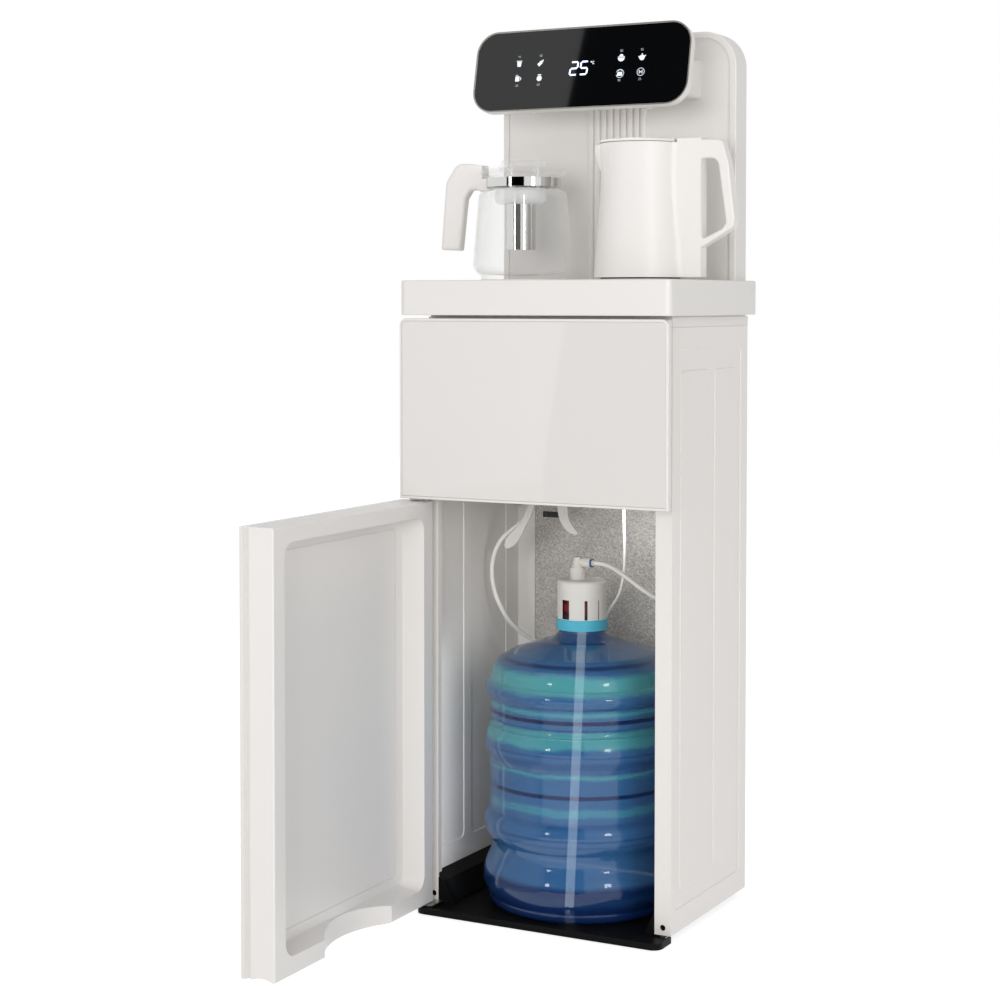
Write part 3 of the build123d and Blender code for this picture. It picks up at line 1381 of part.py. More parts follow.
pieces = {
    "base_tray": base_tray,
    "rubber_feet": rubber_feet,
    "side_panel_left": lambda: side_panel(-1, rib_centre_left, field_bottom_left),
    "side_panel_right": lambda: side_panel(1, rib_centre_right, field_bottom_right),
    "back_panel": back_panel,
    "back_screws": back_screws,
    "compartment_ceiling": ceiling,
    "upper_frame": upper_frame,
    "front_carrier": front_carrier,
    "front_glass": front_glass,
    "deck": deck,
    "kettle_base_plate": kettle_base_plate,
    "kettle_connector": kettle_connector,
    "column_front": column_front,
    "column_back": column_back,
    "head_boss": head_boss,
    "head_frame": head_frame,
    "head_glass": head_glass,
    "circuit_boards": circuit_boards,
    "outlet_nozzles": outlet_nozzles,
    "water_tubes": water_tubes,
    "cold_tank": cold_tank,
    "instant_heater": instant_heater,
    "suction_pump": suction_pump,
    "heat_sink": heat_sink,
    "fan_shroud": fan_shroud,
    "fan_rotor": fan_rotor,
    "power_gland": power_gland,
    "switch_bezel": switch_bezel,
    "power_switch": power_switch,
    "drain_cap": drain_cap,
    "hinge_brackets": hinge_brackets,
    "bottle": bottle,
    "neck_ring": neck_ring,
    "probe_cap": probe_cap,
    "probe_core": probe_core,
    "elbow_fitting": elbow_fitting,
    "elbow_clip": elbow_clip,
    "suction_straw": suction_straw,
    "supply_hose": lambda: cord("supply hose", hose_points, hose_d),
    "sensor_lead": lambda: cord("sensor lead", lead_points, lead_d),
    "ceiling_fittings": ceiling_fittings,
    "hose_hooks": hose_hooks,
    "hose_clip": hose_clip,
    "door_frame": door_frame,
    "door_glass": door_glass,
    "door_core": door_core,
    "door_bushes": door_bushes,
    "door_magnets": door_magnets,
    "kettle_shell": kettle_shell,
    "kettle_liner": kettle_liner,
    "kettle_handle": kettle_handle,
    "kettle_base_cover": kettle_base_cover,
    "kettle_lid": kettle_lid,
    "teapot_glass": teapot_glass,
    "teapot_band": teapot_band,
    "teapot_handle": teapot_handle,
    "teapot_lid": teapot_lid,
    "infuser_collar": infuser_collar,
    "infuser": infuser,
}

os.makedirs("parts", exist_ok=True)
for name, make in pieces.items():
    shape = make()
    export_step(shape, f"parts/{name}.step")
    print(name, "solids", len(shape.solids()), "volume", round(sum(s.volume for s in shape.solids())))
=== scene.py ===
import json
from math import cos, pi, radians, sin

import bmesh
import bpy
from mathutils import Matrix, Vector


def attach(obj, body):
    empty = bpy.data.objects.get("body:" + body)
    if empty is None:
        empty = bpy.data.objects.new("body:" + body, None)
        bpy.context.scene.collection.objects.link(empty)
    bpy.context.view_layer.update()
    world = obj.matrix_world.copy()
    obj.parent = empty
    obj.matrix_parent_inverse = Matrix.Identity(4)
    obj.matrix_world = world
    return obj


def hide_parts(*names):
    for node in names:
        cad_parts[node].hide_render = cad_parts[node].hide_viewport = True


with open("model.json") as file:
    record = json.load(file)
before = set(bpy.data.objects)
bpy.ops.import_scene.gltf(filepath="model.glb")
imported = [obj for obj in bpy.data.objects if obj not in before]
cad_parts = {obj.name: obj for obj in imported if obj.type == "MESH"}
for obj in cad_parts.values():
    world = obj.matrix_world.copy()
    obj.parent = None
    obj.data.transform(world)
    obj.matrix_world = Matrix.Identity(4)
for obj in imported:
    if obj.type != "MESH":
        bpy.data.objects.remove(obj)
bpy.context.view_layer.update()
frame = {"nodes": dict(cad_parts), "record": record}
nodes = frame["nodes"]
print("frame loaded,", len(nodes), "nodes")


def srgb(red, green, blue):
    # linear colour from 0 to 255 values
    out = []
    for value in (red, green, blue):
        value /= 255
        out.append(value / 12.92 if value <= 0.04045 else ((value + 0.055) / 1.055) ** 2.4)
    return (*out, 1)


def startGroup(name, inputs, outputs):
    # shader group with named sockets, its input node and its output node
    group = bpy.data.node_groups.new(name, "ShaderNodeTree")
    for label, kind, value in inputs:
        socket = group.interface.new_socket(label, in_out="INPUT", socket_type="NodeSocket" + kind)
        if value is not None:
            socket.default_value = value
    for label, kind in outputs:
        group.interface.new_socket(label, in_out="OUTPUT", socket_type="NodeSocket" + kind)
    return group, group.nodes.new("NodeGroupInput"), group.nodes.new("NodeGroupOutput")


def addNode(tree, kind, inputs=None, **settings):
    node = tree.nodes.new("ShaderNode" + kind)
    for key, value in settings.items():
        setattr(node, key, value)
    for key, value in (inputs or {}).items():
        if isinstance(value, bpy.types.NodeSocket):
            tree.links.new(value, node.inputs[key])
        else:
            node.inputs[key].default_value = value
    return node


def calc(tree, operation, first, second=0.0, third=0.5, clamp=False):
    values = {0: first, 1: second, 2: third}
    return addNode(tree, "Math", values, operation=operation, use_clamp=clamp).outputs[0]


def blendColour(tree, factor, under, over):
    # second colour laid over the first by a factor
    return addNode(tree, "Mix", {"Factor": factor, 6: under, 7: over}, data_type="RGBA").outputs[2]


def useGroup(tree, group, inputs):
    return addNode(tree, "Group", inputs, node_tree=group)


def fineGrain():
    # moulding texture: small noise and cells, as a height and a mask
    group, given, out = startGroup("mouldingGrain", [("Scale", "Float", 900.0), ("Cells", "Float", 0.3)],
                                   [("Height", "Float"), ("Mask", "Float")])
    place = addNode(group, "TexCoord").outputs["Object"]
    noise = addNode(group, "TexNoise", {"Vector": place, "Scale": given.outputs["Scale"], "Detail": 3.0})
    cells = addNode(group, "TexVoronoi", {"Vector": place, "Scale": given.outputs["Scale"]})
    mix = addNode(group, "Mix", {"Factor": given.outputs["Cells"], "A": noise.outputs["Fac"],
                                 "B": cells.outputs["Distance"]})
    group.links.new(mix.outputs["Result"], out.inputs["Height"])
    mask = calc(group, "MULTIPLY", noise.outputs["Fac"], noise.outputs["Fac"])
    group.links.new(mask, out.inputs["Mask"])
    return group


def toneDrift():
    # slow change of tone over a surface, and a slow mask for roughness
    inputs = [("Colour", "Color", (1, 1, 1, 1)), ("Scale", "Float", 4.0), ("Amount", "Float", 0.05),
              ("Base Roughness", "Float", 0.4), ("Smudge", "Float", 0.05)]
    group, given, out = startGroup("toneDrift", inputs, [("Colour", "Color"), ("Roughness", "Float")])
    place = addNode(group, "TexCoord").outputs["Object"]
    slow = addNode(group, "TexNoise", {"Vector": place, "Scale": given.outputs["Scale"], "Detail": 2.0})
    above = calc(group, "SUBTRACT", slow.outputs["Fac"], 0.35)
    dark = calc(group, "MULTIPLY", above, given.outputs["Amount"])
    tone = addNode(group, "HueSaturation", {"Value": calc(group, "SUBTRACT", 1.0, dark),
                                            "Color": given.outputs["Colour"]})
    group.links.new(tone.outputs["Color"], out.inputs["Colour"])
    wipe = addNode(group, "TexNoise", {"Vector": place, "Scale": 23.0, "Detail": 5.0, "Distortion": 1.2})
    swing = calc(group, "SUBTRACT", wipe.outputs["Fac"], 0.5)
    spread = calc(group, "MULTIPLY", swing, given.outputs["Smudge"])
    rough = calc(group, "ADD", given.outputs["Base Roughness"], spread, clamp=True)
    group.links.new(rough, out.inputs["Roughness"])
    return group


def levelBand():
    # soft band between two heights of the object
    inputs = [("Low", "Float", 0.0), ("High", "Float", 0.1), ("Softness", "Float", 0.004),
              ("Waver", "Float", 0.0)]
    group, given, out = startGroup("levelBand", inputs, [("Mask", "Float")])
    place = addNode(group, "TexCoord").outputs["Object"]
    height = addNode(group, "SeparateXYZ", {"Vector": place}).outputs["Z"]
    wave = addNode(group, "TexNoise", {"Vector": place, "Scale": 14.0, "Detail": 2.0})
    swing = calc(group, "SUBTRACT", wave.outputs["Fac"], 0.5)
    height = calc(group, "ADD", height, calc(group, "MULTIPLY", swing, given.outputs["Waver"]))
    soft = given.outputs["Softness"]
    low = calc(group, "DIVIDE", calc(group, "SUBTRACT", height, given.outputs["Low"]), soft, clamp=True)
    high = calc(group, "DIVIDE", calc(group, "SUBTRACT", given.outputs["High"], height), soft, clamp=True)
    group.links.new(calc(group, "MULTIPLY", low, high), out.inputs["Mask"])
    return group


def drawnLines():
    # fine lines left by brushing or rolling, stretched by the given scale
    inputs = [("Stretch", "Vector", (1.0, 1.0, 1.0)), ("Scale", "Float", 300.0)]
    group, given, out = startGroup("drawnLines", inputs, [("Height", "Float")])
    place = addNode(group, "TexCoord").outputs["Object"]
    pulled = addNode(group, "VectorMath", {0: place, 1: given.outputs["Stretch"]}, operation="MULTIPLY")
    noise = addNode(group, "TexNoise", {"Vector": pulled.outputs["Vector"], "Scale": given.outputs["Scale"],
                                        "Detail": 4.0})
    group.links.new(noise.outputs["Fac"], out.inputs["Height"])
    return group


grainGroup, toneGroup, bandGroup, lineGroup = fineGrain(), toneDrift(), levelBand(), drawnLines()


def newFinish(name, sockets):
    finish = bpy.data.materials.new(name)
    finish.use_nodes = True
    shader = finish.node_tree.nodes["Principled BSDF"]
    for key, value in sockets.items():
        shader.inputs[key].default_value = value
    return finish, finish.node_tree, shader


def addBump(tree, shader, height, strength, distance):
    bump = addNode(tree, "Bump", {"Height": height, "Strength": strength, "Distance": distance})
    tree.links.new(bump.outputs["Normal"], shader.inputs["Normal"])


def plastic(name, colour, roughness, grain=1400.0, depth=0.00002, drift=0.04, smudge=0.06, **sockets):
    finish, tree, shader = newFinish(name, sockets)
    tone = useGroup(tree, toneGroup, {"Colour": srgb(*colour), "Amount": drift, "Base Roughness": roughness,
                                      "Smudge": smudge})
    tree.links.new(tone.outputs["Colour"], shader.inputs["Base Color"])
    tree.links.new(tone.outputs["Roughness"], shader.inputs["Roughness"])
    texture = useGroup(tree, grainGroup, {"Scale": grain})
    addBump(tree, shader, texture.outputs["Height"], 0.35, depth)
    return finish


def metal(name, colour, roughness, stretch=(1, 1, 0.03), scale=400.0, depth=0.00001, **sockets):
    finish, tree, shader = newFinish(name, {"Metallic": 1.0, **sockets})
    tone = useGroup(tree, toneGroup, {"Colour": srgb(*colour), "Amount": 0.12, "Base Roughness": roughness,
                                      "Smudge": 0.08, "Scale": 9.0})
    tree.links.new(tone.outputs["Colour"], shader.inputs["Base Color"])
    tree.links.new(tone.outputs["Roughness"], shader.inputs["Roughness"])
    lines = useGroup(tree, lineGroup, {"Stretch": stretch, "Scale": scale})
    addBump(tree, shader, lines.outputs["Height"], 0.3, depth)
    return finish


zincLook = {
    "cellScale": 560.0, "fineScale": 900.0, "cloudScale": 16.0, "cellShare": 0.34, "fineShare": 0.36,
    "cloudShare": 0.3, "range": (0.2, 0.8), "dark": (150, 145, 140), "light": (240, 236, 230),
    "roughness": 0.42, "roughSpread": 0.2,
}


def galvanisedSheet(look):
    # zinc: fine grains of different brightness under a slow cloud
    finish, tree, shader = newFinish("galvanisedSheet", {"Metallic": 0.25})
    place = addNode(tree, "TexCoord").outputs["Object"]
    cells = addNode(tree, "TexVoronoi", {"Vector": place, "Scale": look["cellScale"], "Randomness": 1.0})
    fine = addNode(tree, "TexNoise", {"Vector": place, "Scale": look["fineScale"], "Detail": 2.0})
    cloud = addNode(tree, "TexNoise", {"Vector": place, "Scale": look["cloudScale"], "Detail": 2.0})
    level = addNode(tree, "SeparateColor", {"Color": cells.outputs["Color"]}).outputs["Red"]
    cellPart = calc(tree, "MULTIPLY", level, look["cellShare"])
    grains = calc(tree, "ADD", cellPart, calc(tree, "MULTIPLY", fine.outputs["Fac"], look["fineShare"]))
    total = calc(tree, "ADD", grains, calc(tree, "MULTIPLY", cloud.outputs["Fac"], look["cloudShare"]))
    ramp = addNode(tree, "ValToRGB", {"Fac": total})
    stops = ramp.color_ramp.elements
    stops[0].position, stops[1].position = look["range"]
    stops[0].color, stops[1].color = srgb(*look["dark"]), srgb(*look["light"])
    tree.links.new(ramp.outputs["Color"], shader.inputs["Base Color"])
    rough = calc(tree, "ADD", calc(tree, "MULTIPLY", level, look["roughSpread"]), look["roughness"])
    tree.links.new(rough, shader.inputs["Roughness"])
    addBump(tree, shader, fine.outputs["Fac"], 0.3, 0.0001)
    return finish


def twoTone(name, upper, lower, level):
    # moulding in two colours that meet at one height
    finish, tree, shader = newFinish(name, {"Roughness": 0.35})
    mask = useGroup(tree, bandGroup, {"Low": level, "High": 1.0, "Softness": 0.0015})
    colour = blendColour(tree, mask.outputs["Mask"], srgb(*lower), srgb(*upper))
    tree.links.new(colour, shader.inputs["Base Color"])
    texture = useGroup(tree, grainGroup, {"Scale": 1400.0})
    addBump(tree, shader, texture.outputs["Height"], 0.35, 0.00002)
    return finish


def paintedGlass(name, colour):
    # clear pane painted from behind: the paint shows through a hard gloss
    finish, tree, shader = newFinish(name, {"IOR": 1.52})
    tone = useGroup(tree, toneGroup, {"Colour": srgb(*colour), "Amount": 0.03, "Scale": 2.0})
    tree.links.new(tone.outputs["Colour"], shader.inputs["Base Color"])
    wipe = useGroup(tree, grainGroup, {"Scale": 6.0, "Cells": 0.0})
    rough = calc(tree, "MULTIPLY_ADD", wipe.outputs["Mask"], 0.03, 0.02)
    tree.links.new(rough, shader.inputs["Roughness"])
    return finish


potGlass = {"tint": (214, 213, 210), "face": 0.055, "edge": 0.8, "edgeBlend": 0.12, "paintedGlow": 0.14}


def clearGlass(look):
    # thin clear wall that thickens towards its outline; its faint glow is painted light
    finish, tree, shader = newFinish("teapotGlass", {
        "Transmission Weight": 0.3, "IOR": 1.2, "Coat Weight": 1.0, "Coat Roughness": 0.02, "Coat IOR": 1.5,
        "Roughness": 0.02, "Emission Color": (0.93, 0.95, 0.94, 1), "Emission Strength": look["paintedGlow"],
    })
    tone = useGroup(tree, toneGroup, {"Colour": srgb(*look["tint"]), "Amount": 0.03})
    tree.links.new(tone.outputs["Colour"], shader.inputs["Base Color"])
    facing = addNode(tree, "LayerWeight", {"Blend": look["edgeBlend"]}).outputs["Facing"]
    alpha = calc(tree, "MULTIPLY_ADD", facing, look["edge"], look["face"])
    tree.links.new(alpha, shader.inputs["Alpha"])
    streak = useGroup(tree, lineGroup, {"Stretch": (0.4, 0.4, 1.6), "Scale": 20.0})
    addBump(tree, shader, streak.outputs["Height"], 0.05, 0.0004)
    return finish


def bottleWall(bands):
    # blown blue wall with bands by height: the blue base and the speckled rings beside the ribs are its own
    # colour, the teal bands are painted light shining through, the navy lines at the ribs are painted shade,
    # and it is darker towards the foot
    finish, tree, shader = newFinish("bottleWall", {
        "Alpha": 0.6, "IOR": 1.3, "Roughness": 0.25,
        "Coat Weight": 1.0, "Coat Roughness": 0.03, "Coat IOR": 1.5,
    })
    colour = srgb(*bands["base"])
    for low, high, tint, amount, softness, waver in bands["levels"]:
        mask = useGroup(tree, bandGroup, {"Low": low, "High": high, "Softness": softness, "Waver": waver})
        factor = calc(tree, "MULTIPLY", mask.outputs["Mask"], amount)
        colour = blendColour(tree, factor, colour, srgb(*tint))
    place = addNode(tree, "TexCoord").outputs["Object"]
    dots = addNode(tree, "TexVoronoi", {"Vector": place, "Scale": bands["dotScale"]})
    speck = calc(tree, "LESS_THAN", dots.outputs["Distance"], bands["dotSize"])
    for low, high in bands["speckled"]:
        mask = useGroup(tree, bandGroup, {"Low": low, "High": high, "Softness": 0.006, "Waver": 0.01})
        factor = calc(tree, "MULTIPLY", mask.outputs["Mask"], speck)
        factor = calc(tree, "MULTIPLY", factor, bands["dotAmount"])
        colour = blendColour(tree, factor, colour, srgb(*bands["dotColour"]))
    tree.links.new(colour, shader.inputs["Base Color"])
    waves = useGroup(tree, lineGroup, {"Stretch": (0.25, 0.25, 1.0), "Scale": 60.0})
    addBump(tree, shader, waves.outputs["Height"], 0.12, 0.0004)
    return finish


# each level: low, high, tint, amount, softness and waver, in metres above the floor; the levels mix the
# wall's own blue with painted light and shade
bottleColourAndPaintedLight = {
    "base": (60, 112, 166),
    "levels": [
        # painted light: the teal levels stand in for light shining through the wall; painted shade: the thin
        # navy levels at the ribs
        (0.366, 0.420, (44, 78, 132), 0.8, 0.012, 0.006),
        (0.350, 0.356, (18, 40, 104), 0.8, 0.002, 0.003),
        (0.314, 0.347, (92, 184, 186), 0.85, 0.008, 0.012),
        (0.287, 0.297, (84, 172, 182), 0.75, 0.004, 0.006),
        (0.278, 0.285, (12, 24, 78), 0.95, 0.0015, 0.0),
        (0.242, 0.270, (88, 178, 184), 0.85, 0.006, 0.014),
        (0.234, 0.237, (26, 52, 122), 0.7, 0.0015, 0.0),
        (0.216, 0.230, (38, 84, 142), 0.7, 0.004, 0.006),
        (0.203, 0.213, (88, 176, 186), 0.7, 0.005, 0.012),
        (0.177, 0.184, (14, 28, 86), 0.9, 0.0015, 0.0),
        (0.151, 0.167, (80, 164, 186), 0.7, 0.005, 0.012),
        (0.136, 0.147, (42, 90, 148), 0.6, 0.004, 0.006),
        (0.121, 0.125, (28, 54, 128), 0.6, 0.0015, 0.0),
        (0.113, 0.116, (28, 54, 128), 0.6, 0.0015, 0.0),
        # darker towards the foot, with a faint teal painted glint above it
        (0.000, 0.063, (14, 40, 100), 0.9, 0.008, 0.010),
        (0.034, 0.050, (60, 140, 176), 0.12, 0.008, 0.034),
    ],
    "speckled": [(0.297, 0.314), (0.270, 0.278), (0.101, 0.113)],
    "dotScale": 420.0, "dotSize": 0.3, "dotAmount": 0.7, "dotColour": (16, 44, 104),
}

deepWhite = {"Subsurface Weight": 0.15, "Subsurface Radius": (0.004, 0.003, 0.002)}
deepHose = {"Subsurface Weight": 0.3, "Subsurface Radius": (0.004, 0.003, 0.002)}
deepBlue = {"Subsurface Weight": 0.15, "Subsurface Radius": (0.002, 0.003, 0.004)}
# painted light: the straw glows, though it is no lamp, so that it shows as a light streak through the bottle
strawPaintedGlow = {"Emission Color": (0.70, 0.82, 0.88, 1), "Emission Strength": 1.0}
mattBlack = {"Specular IOR Level": 0.06, "Coat Weight": 0.02}
# partly see-through plastic, with a faint white painted glow (emission) that stands in for light
frostedPaintedGlow = {"Alpha": 0.3, "Emission Strength": 0.15}
thinLacquer = {"Coat Weight": 0.3, "Coat Roughness": 0.15}

finishes = {
    "tray_black": plastic("trayPlastic", (16, 16, 16), 0.42, grain=900.0, **mattBlack),
    "base_grey": plastic("standGrey", (214, 212, 209), 0.4),
    "frosted_plastic": plastic("frostedFunnel", (236, 238, 238), 0.35, **frostedPaintedGlow),
    "foot_rubber": plastic("footRubber", (28, 28, 28), 0.8, depth=0.00005),
    "panel_white": plastic("panelEnamel", (230, 226, 222), 0.32, grain=260.0, depth=0.00006, **thinLacquer),
    "galvanised": galvanisedSheet(zincLook),
    "screw_steel": metal("screwZinc", (190, 188, 182), 0.35),
    "shelf_steel": metal("shelfZinc", (200, 198, 194), 0.4, stretch=(1, 0.05, 1)),
    "abs_white": plastic("casingWhite", (228, 225, 222), 0.34, depth=0.00001),
    "white_glass": paintedGlass("whitePane", (222, 219, 216)),
    "base_black": plastic("connectorBlack", (24, 24, 26), 0.4),
    "black_glass": paintedGlass("blackPane", (9, 10, 12)),
    "board_green": plastic("boardLacquer", (36, 96, 58), 0.35),
    "nozzle_white": plastic("outletWhite", (232, 230, 226), 0.4),
    "silicone": plastic("siliconeTube", (226, 226, 222), 0.5, **{"Transmission Weight": 0.3}),
    "tank_steel": metal("tankSteel", (196, 196, 196), 0.25),
    "pump_black": plastic("pumpBlack", (34, 34, 36), 0.45),
    "bare_aluminium": metal("castAluminium", (206, 208, 210), 0.45),
    "switch_red": plastic("switchRed", (190, 34, 30), 0.3),
    "bottle_blue": bottleWall(bottleColourAndPaintedLight),
    "ring_blue": plastic("ringBlue", (84, 190, 216), 0.35, **deepBlue),
    "probe_white": plastic("probeWhite", (228, 225, 219), 0.4, **deepWhite),
    "probe_red": twoTone("probeCore", (104, 14, 22), (24, 18, 52), 0.4135),
    "clip_blue": plastic("clipBlue", (46, 88, 158), 0.4),
    "straw_clear": plastic("strawTube", (214, 226, 230), 0.3, **strawPaintedGlow),
    "hose_white": plastic("hoseWhite", (240, 238, 233), 0.38, **deepHose),
    "foam": plastic("insulationFoam", (226, 218, 196), 0.9, grain=300.0, depth=0.0004),
    "bush_nylon": plastic("bushNylon", (224, 222, 214), 0.45),
    "magnet": metal("magnetFerrite", (96, 96, 98), 0.5),
    "kettle_white": plastic("kettleSatin", (232, 229, 226), 0.42, grain=2200.0, depth=0.00001),
    "liner_steel": metal("linerSteel", (208, 208, 206), 0.22, stretch=(1, 1, 0.02)),
    "clear_glass": clearGlass(potGlass),
    "polished_steel": metal("polishedSteel", (214, 214, 212), 0.07, depth=0.000003),
}

for entry in frame["record"]["subparts"]:
    piece = nodes[entry["node"]]
    finish = finishes[entry["material_slot"]]
    if not piece.material_slots:
        piece.data.materials.append(finish)
    for slot in piece.material_slots:
        slot.material = finish


def addPiece(mesh, body, finish):
    piece = bpy.data.objects.new(mesh.name, mesh)
    bpy.context.scene.collection.objects.link(piece)
    mesh.materials.append(finish)
    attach(piece, body)


def prismMesh(name, outlines, place, depth):
    # closed prisms from flat outlines, all in one mesh, standing on a plane given by a matrix
    work = bmesh.new()
    for outline in outlines:
        corners = [work.verts.new((x, y, 0)) for x, y in outline]
        face = work.faces.new(corners)
        made = bmesh.ops.extrude_face_region(work, geom=[face])
        raised = [item for item in made["geom"] if isinstance(item, bmesh.types.BMVert)]
        bmesh.ops.translate(work, verts=raised, vec=(0, 0, depth))
    bmesh.ops.recalc_face_normals(work, faces=work.faces)
    work.transform(place)
    mesh = bpy.data.meshes.new(name)
    work.to_mesh(mesh)
    work.free()
    return mesh


def closedMesh(name, corners, faces, place=None):
    # mesh with its normals turned outwards, moved to its place
    mesh = bpy.data.meshes.new(name)
    mesh.from_pydata(corners, [], faces)
    work = bmesh.new()
    work.from_mesh(mesh)
    bmesh.ops.recalc_face_normals(work, faces=work.faces)
    if place:
        work.transform(place)
    work.to_mesh(mesh)
    work.free()
    return mesh


def arc(x, y, radius, start, end, count):
    angles = [radians(start + (end - start) * i / count) for i in range(count + 1)]
    return [(x + radius * cos(a), y + radius * sin(a)) for a in angles]


def circle(x, y, radius, count):
    return arc(x, y, radius, 0, 360, count)[:-1]


def moved(outline, x, y, turn=0.0, scale=1.0):
    c, s = scale * cos(radians(turn)), scale * sin(radians(turn))
    return [(x + px * c - py * s, y + px * s + py * c) for px, py in outline]


hoseRoute = {
    "points": [
        (0.0190, -0.0245, 0.4834), (0.0310, -0.0245, 0.4834), (0.0450, -0.0270, 0.4804),
        (0.0590, -0.0315, 0.4752), (0.0730, -0.0355, 0.4686), (0.0870, -0.0385, 0.4606),
        (0.1020, -0.0375, 0.4508), (0.1190, -0.0310, 0.4398), (0.1350, -0.0140, 0.4270),
        (0.1450, 0.0080, 0.4130), (0.1490, 0.0320, 0.3970), (0.1460, 0.0560, 0.3790),
        (0.1370, 0.0780, 0.3600), (0.1200, 0.0980, 0.3440), (0.0960, 0.1110, 0.3330),
        (0.0620, 0.1180, 0.3280), (0.0220, 0.1190, 0.3260), (-0.0200, 0.1190, 0.3260),
        (-0.0600, 0.1170, 0.3270), (-0.0920, 0.1090, 0.3310),
        (-0.1160, 0.0940, 0.3390), (-0.1310, 0.0760, 0.3510), (-0.1420, 0.0540, 0.3670),
        (-0.1490, 0.0340, 0.3860), (-0.1550, 0.0210, 0.4080), (-0.1610, 0.0155, 0.4300),
        (-0.1640, 0.0145, 0.4500), (-0.1630, 0.0145, 0.4710), (-0.1570, 0.0145, 0.4910),
        (-0.1450, 0.0145, 0.5080), (-0.1300, 0.0145, 0.5190), (-0.1155, 0.0145, 0.5300),
        (-0.1040, 0.0145, 0.5430), (-0.0980, 0.0145, 0.5585), (-0.0980, 0.0145, 0.5725),
    ],
    "diameter": 0.00635,
    "length": 0.8356,
}
leadRoute = {
    "points": [
        (0.0326, 0.0445, 0.5700), (0.0326, 0.0445, 0.5340), (0.0340, 0.0445, 0.4970),
        (0.0335, 0.0430, 0.4640), (0.0310, 0.0385, 0.4400), (0.0265, 0.0305, 0.4240),
        (0.0208, 0.0215, 0.4120), (0.0176, 0.0165, 0.4030), (0.0176, 0.0165, 0.3940),
    ],
    "diameter": 0.004,
    "length": 0.1844,
}


def layCord(name, route, node):
    curve = bpy.data.curves.new(name, "CURVE")
    curve.dimensions = "3D"
    spline = curve.splines.new("NURBS")
    spline.points.add(len(route["points"]) - 1)
    for point, place in zip(spline.points, route["points"]):
        point.co = (*place, 1)
    spline.order_u = 3
    spline.use_endpoint_u = True
    spline.resolution_u = 8
    curve.bevel_depth = route["diameter"] / 2
    curve.bevel_resolution = 6
    curve.use_fill_caps = True
    cord = bpy.data.objects.new(name, curve)
    bpy.context.scene.collection.objects.link(cord)
    curve.materials.append(finishes["hose_white"])
    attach(cord, "cabinet")
    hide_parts(node)


layCord("supplyHose", hoseRoute, "supply_hose")
layCord("sensorLead", leadRoute, "sensor_lead")
print("hose and lead laid")


def turnedMesh(name, centre, profile, steps=128):
    # closed ring from a closed outline of (radius, height) points
    corners = []
    for step in range(steps):
        a = 2 * pi * step / steps
        corners += [(centre[0] + r * cos(a), centre[1] + r * sin(a), z) for r, z in profile]
    count = len(profile)
    faces = []
    for step in range(steps):
        here, there = step * count, (step + 1) % steps * count
        for i in range(count):
            j = (i + 1) % count
            faces.append((here + i, there + i, there + j, here + j))
    return closedMesh(name, corners, faces)


def boxOutline(x0, x1, y0, y1):
    return [(x0, y0), (x1, y0), (x1, y1), (x0, y1)]


# painted shade: a dark ring stands in for the shadow in the gap round the kettle's lid
lidSeamShade = {"centre": (0.0905, -0.0305), "low": 1.0617, "high": 1.06245, "inner": 0.0535, "outer": 0.05525}
profile = boxOutline(lidSeamShade["inner"], lidSeamShade["outer"], lidSeamShade["low"], lidSeamShade["high"])
seamShadeFinish = plastic("seamShadow", (58, 56, 55), 0.6)
addPiece(turnedMesh("lidSeamShade", lidSeamShade["centre"], profile), "kettle", seamShadeFinish)

# the head's front, where the display and the trim lie
headFace = {"tilt": 11.83, "origin": (0, -0.0455, 1.1149), "proud": 0.00008, "thick": 0.00012}
tilt = radians(headFace["tilt"])
outwards = Vector((0, -cos(tilt), sin(tilt)))
facePlace = Matrix((
    (1, 0, 0, 0), (0, sin(tilt), -cos(tilt), 0), (0, cos(tilt), sin(tilt), 0), (0, 0, 0, 1),
))
facePlace.translation = Vector(headFace["origin"]) + outwards * headFace["proud"]


def litFinish(name, colour, strength):
    finish, tree, shader = newFinish(name, {"Roughness": 0.5, "Emission Strength": strength})
    tone = useGroup(tree, toneGroup, {"Colour": srgb(*colour), "Amount": 0.25, "Scale": 260.0})
    tree.links.new(tone.outputs["Colour"], shader.inputs["Base Color"])
    tree.links.new(tone.outputs["Colour"], shader.inputs["Emission Color"])
    return finish


digitLight = litFinish("displayLight", (214, 224, 255), 1.5)
iconLight = litFinish("iconLight", (206, 214, 222), 0.7)
numberLight = litFinish("numberLight", (168, 172, 178), 0.4)

# bright metal trim round the pane
headTrim = {
    "width": 0.3242, "height": 0.1126, "radius": 0.030, "inner": 0.0003, "outer": 0.0022, "lift": 0.00048,
    "thick": 0.00012,
}


def roundedOutline(cx, cy, width, height, radius, count=10):
    outline = []
    for turn, sx, sy in ((0, 1, 1), (90, -1, 1), (180, -1, -1), (270, 1, -1)):
        ox, oy = cx + sx * (width / 2 - radius), cy + sy * (height / 2 - radius)
        outline += arc(ox, oy, radius, turn, turn + 90, count)
    return outline


def frameMesh(name, inner, outer, place, depth):
    # flat closed frame between two outlines of equal count
    count = len(inner)
    corners = [(x, y, z) for z in (0, depth) for outline in (inner, outer) for x, y in outline]
    faces = []
    for i in range(count):
        j = (i + 1) % count
        for a, b in ((0, 1), (3, 2), (2, 0), (1, 3)):  # back, front, inside and outside
            faces.append((a * count + i, a * count + j, b * count + j, b * count + i))
    return closedMesh(name, corners, faces, place)


def grown(amount):
    width, height = headTrim["width"] + 2 * amount, headTrim["height"] + 2 * amount
    return roundedOutline(0, headTrim["height"] / 2, width, height, headTrim["radius"] + amount)


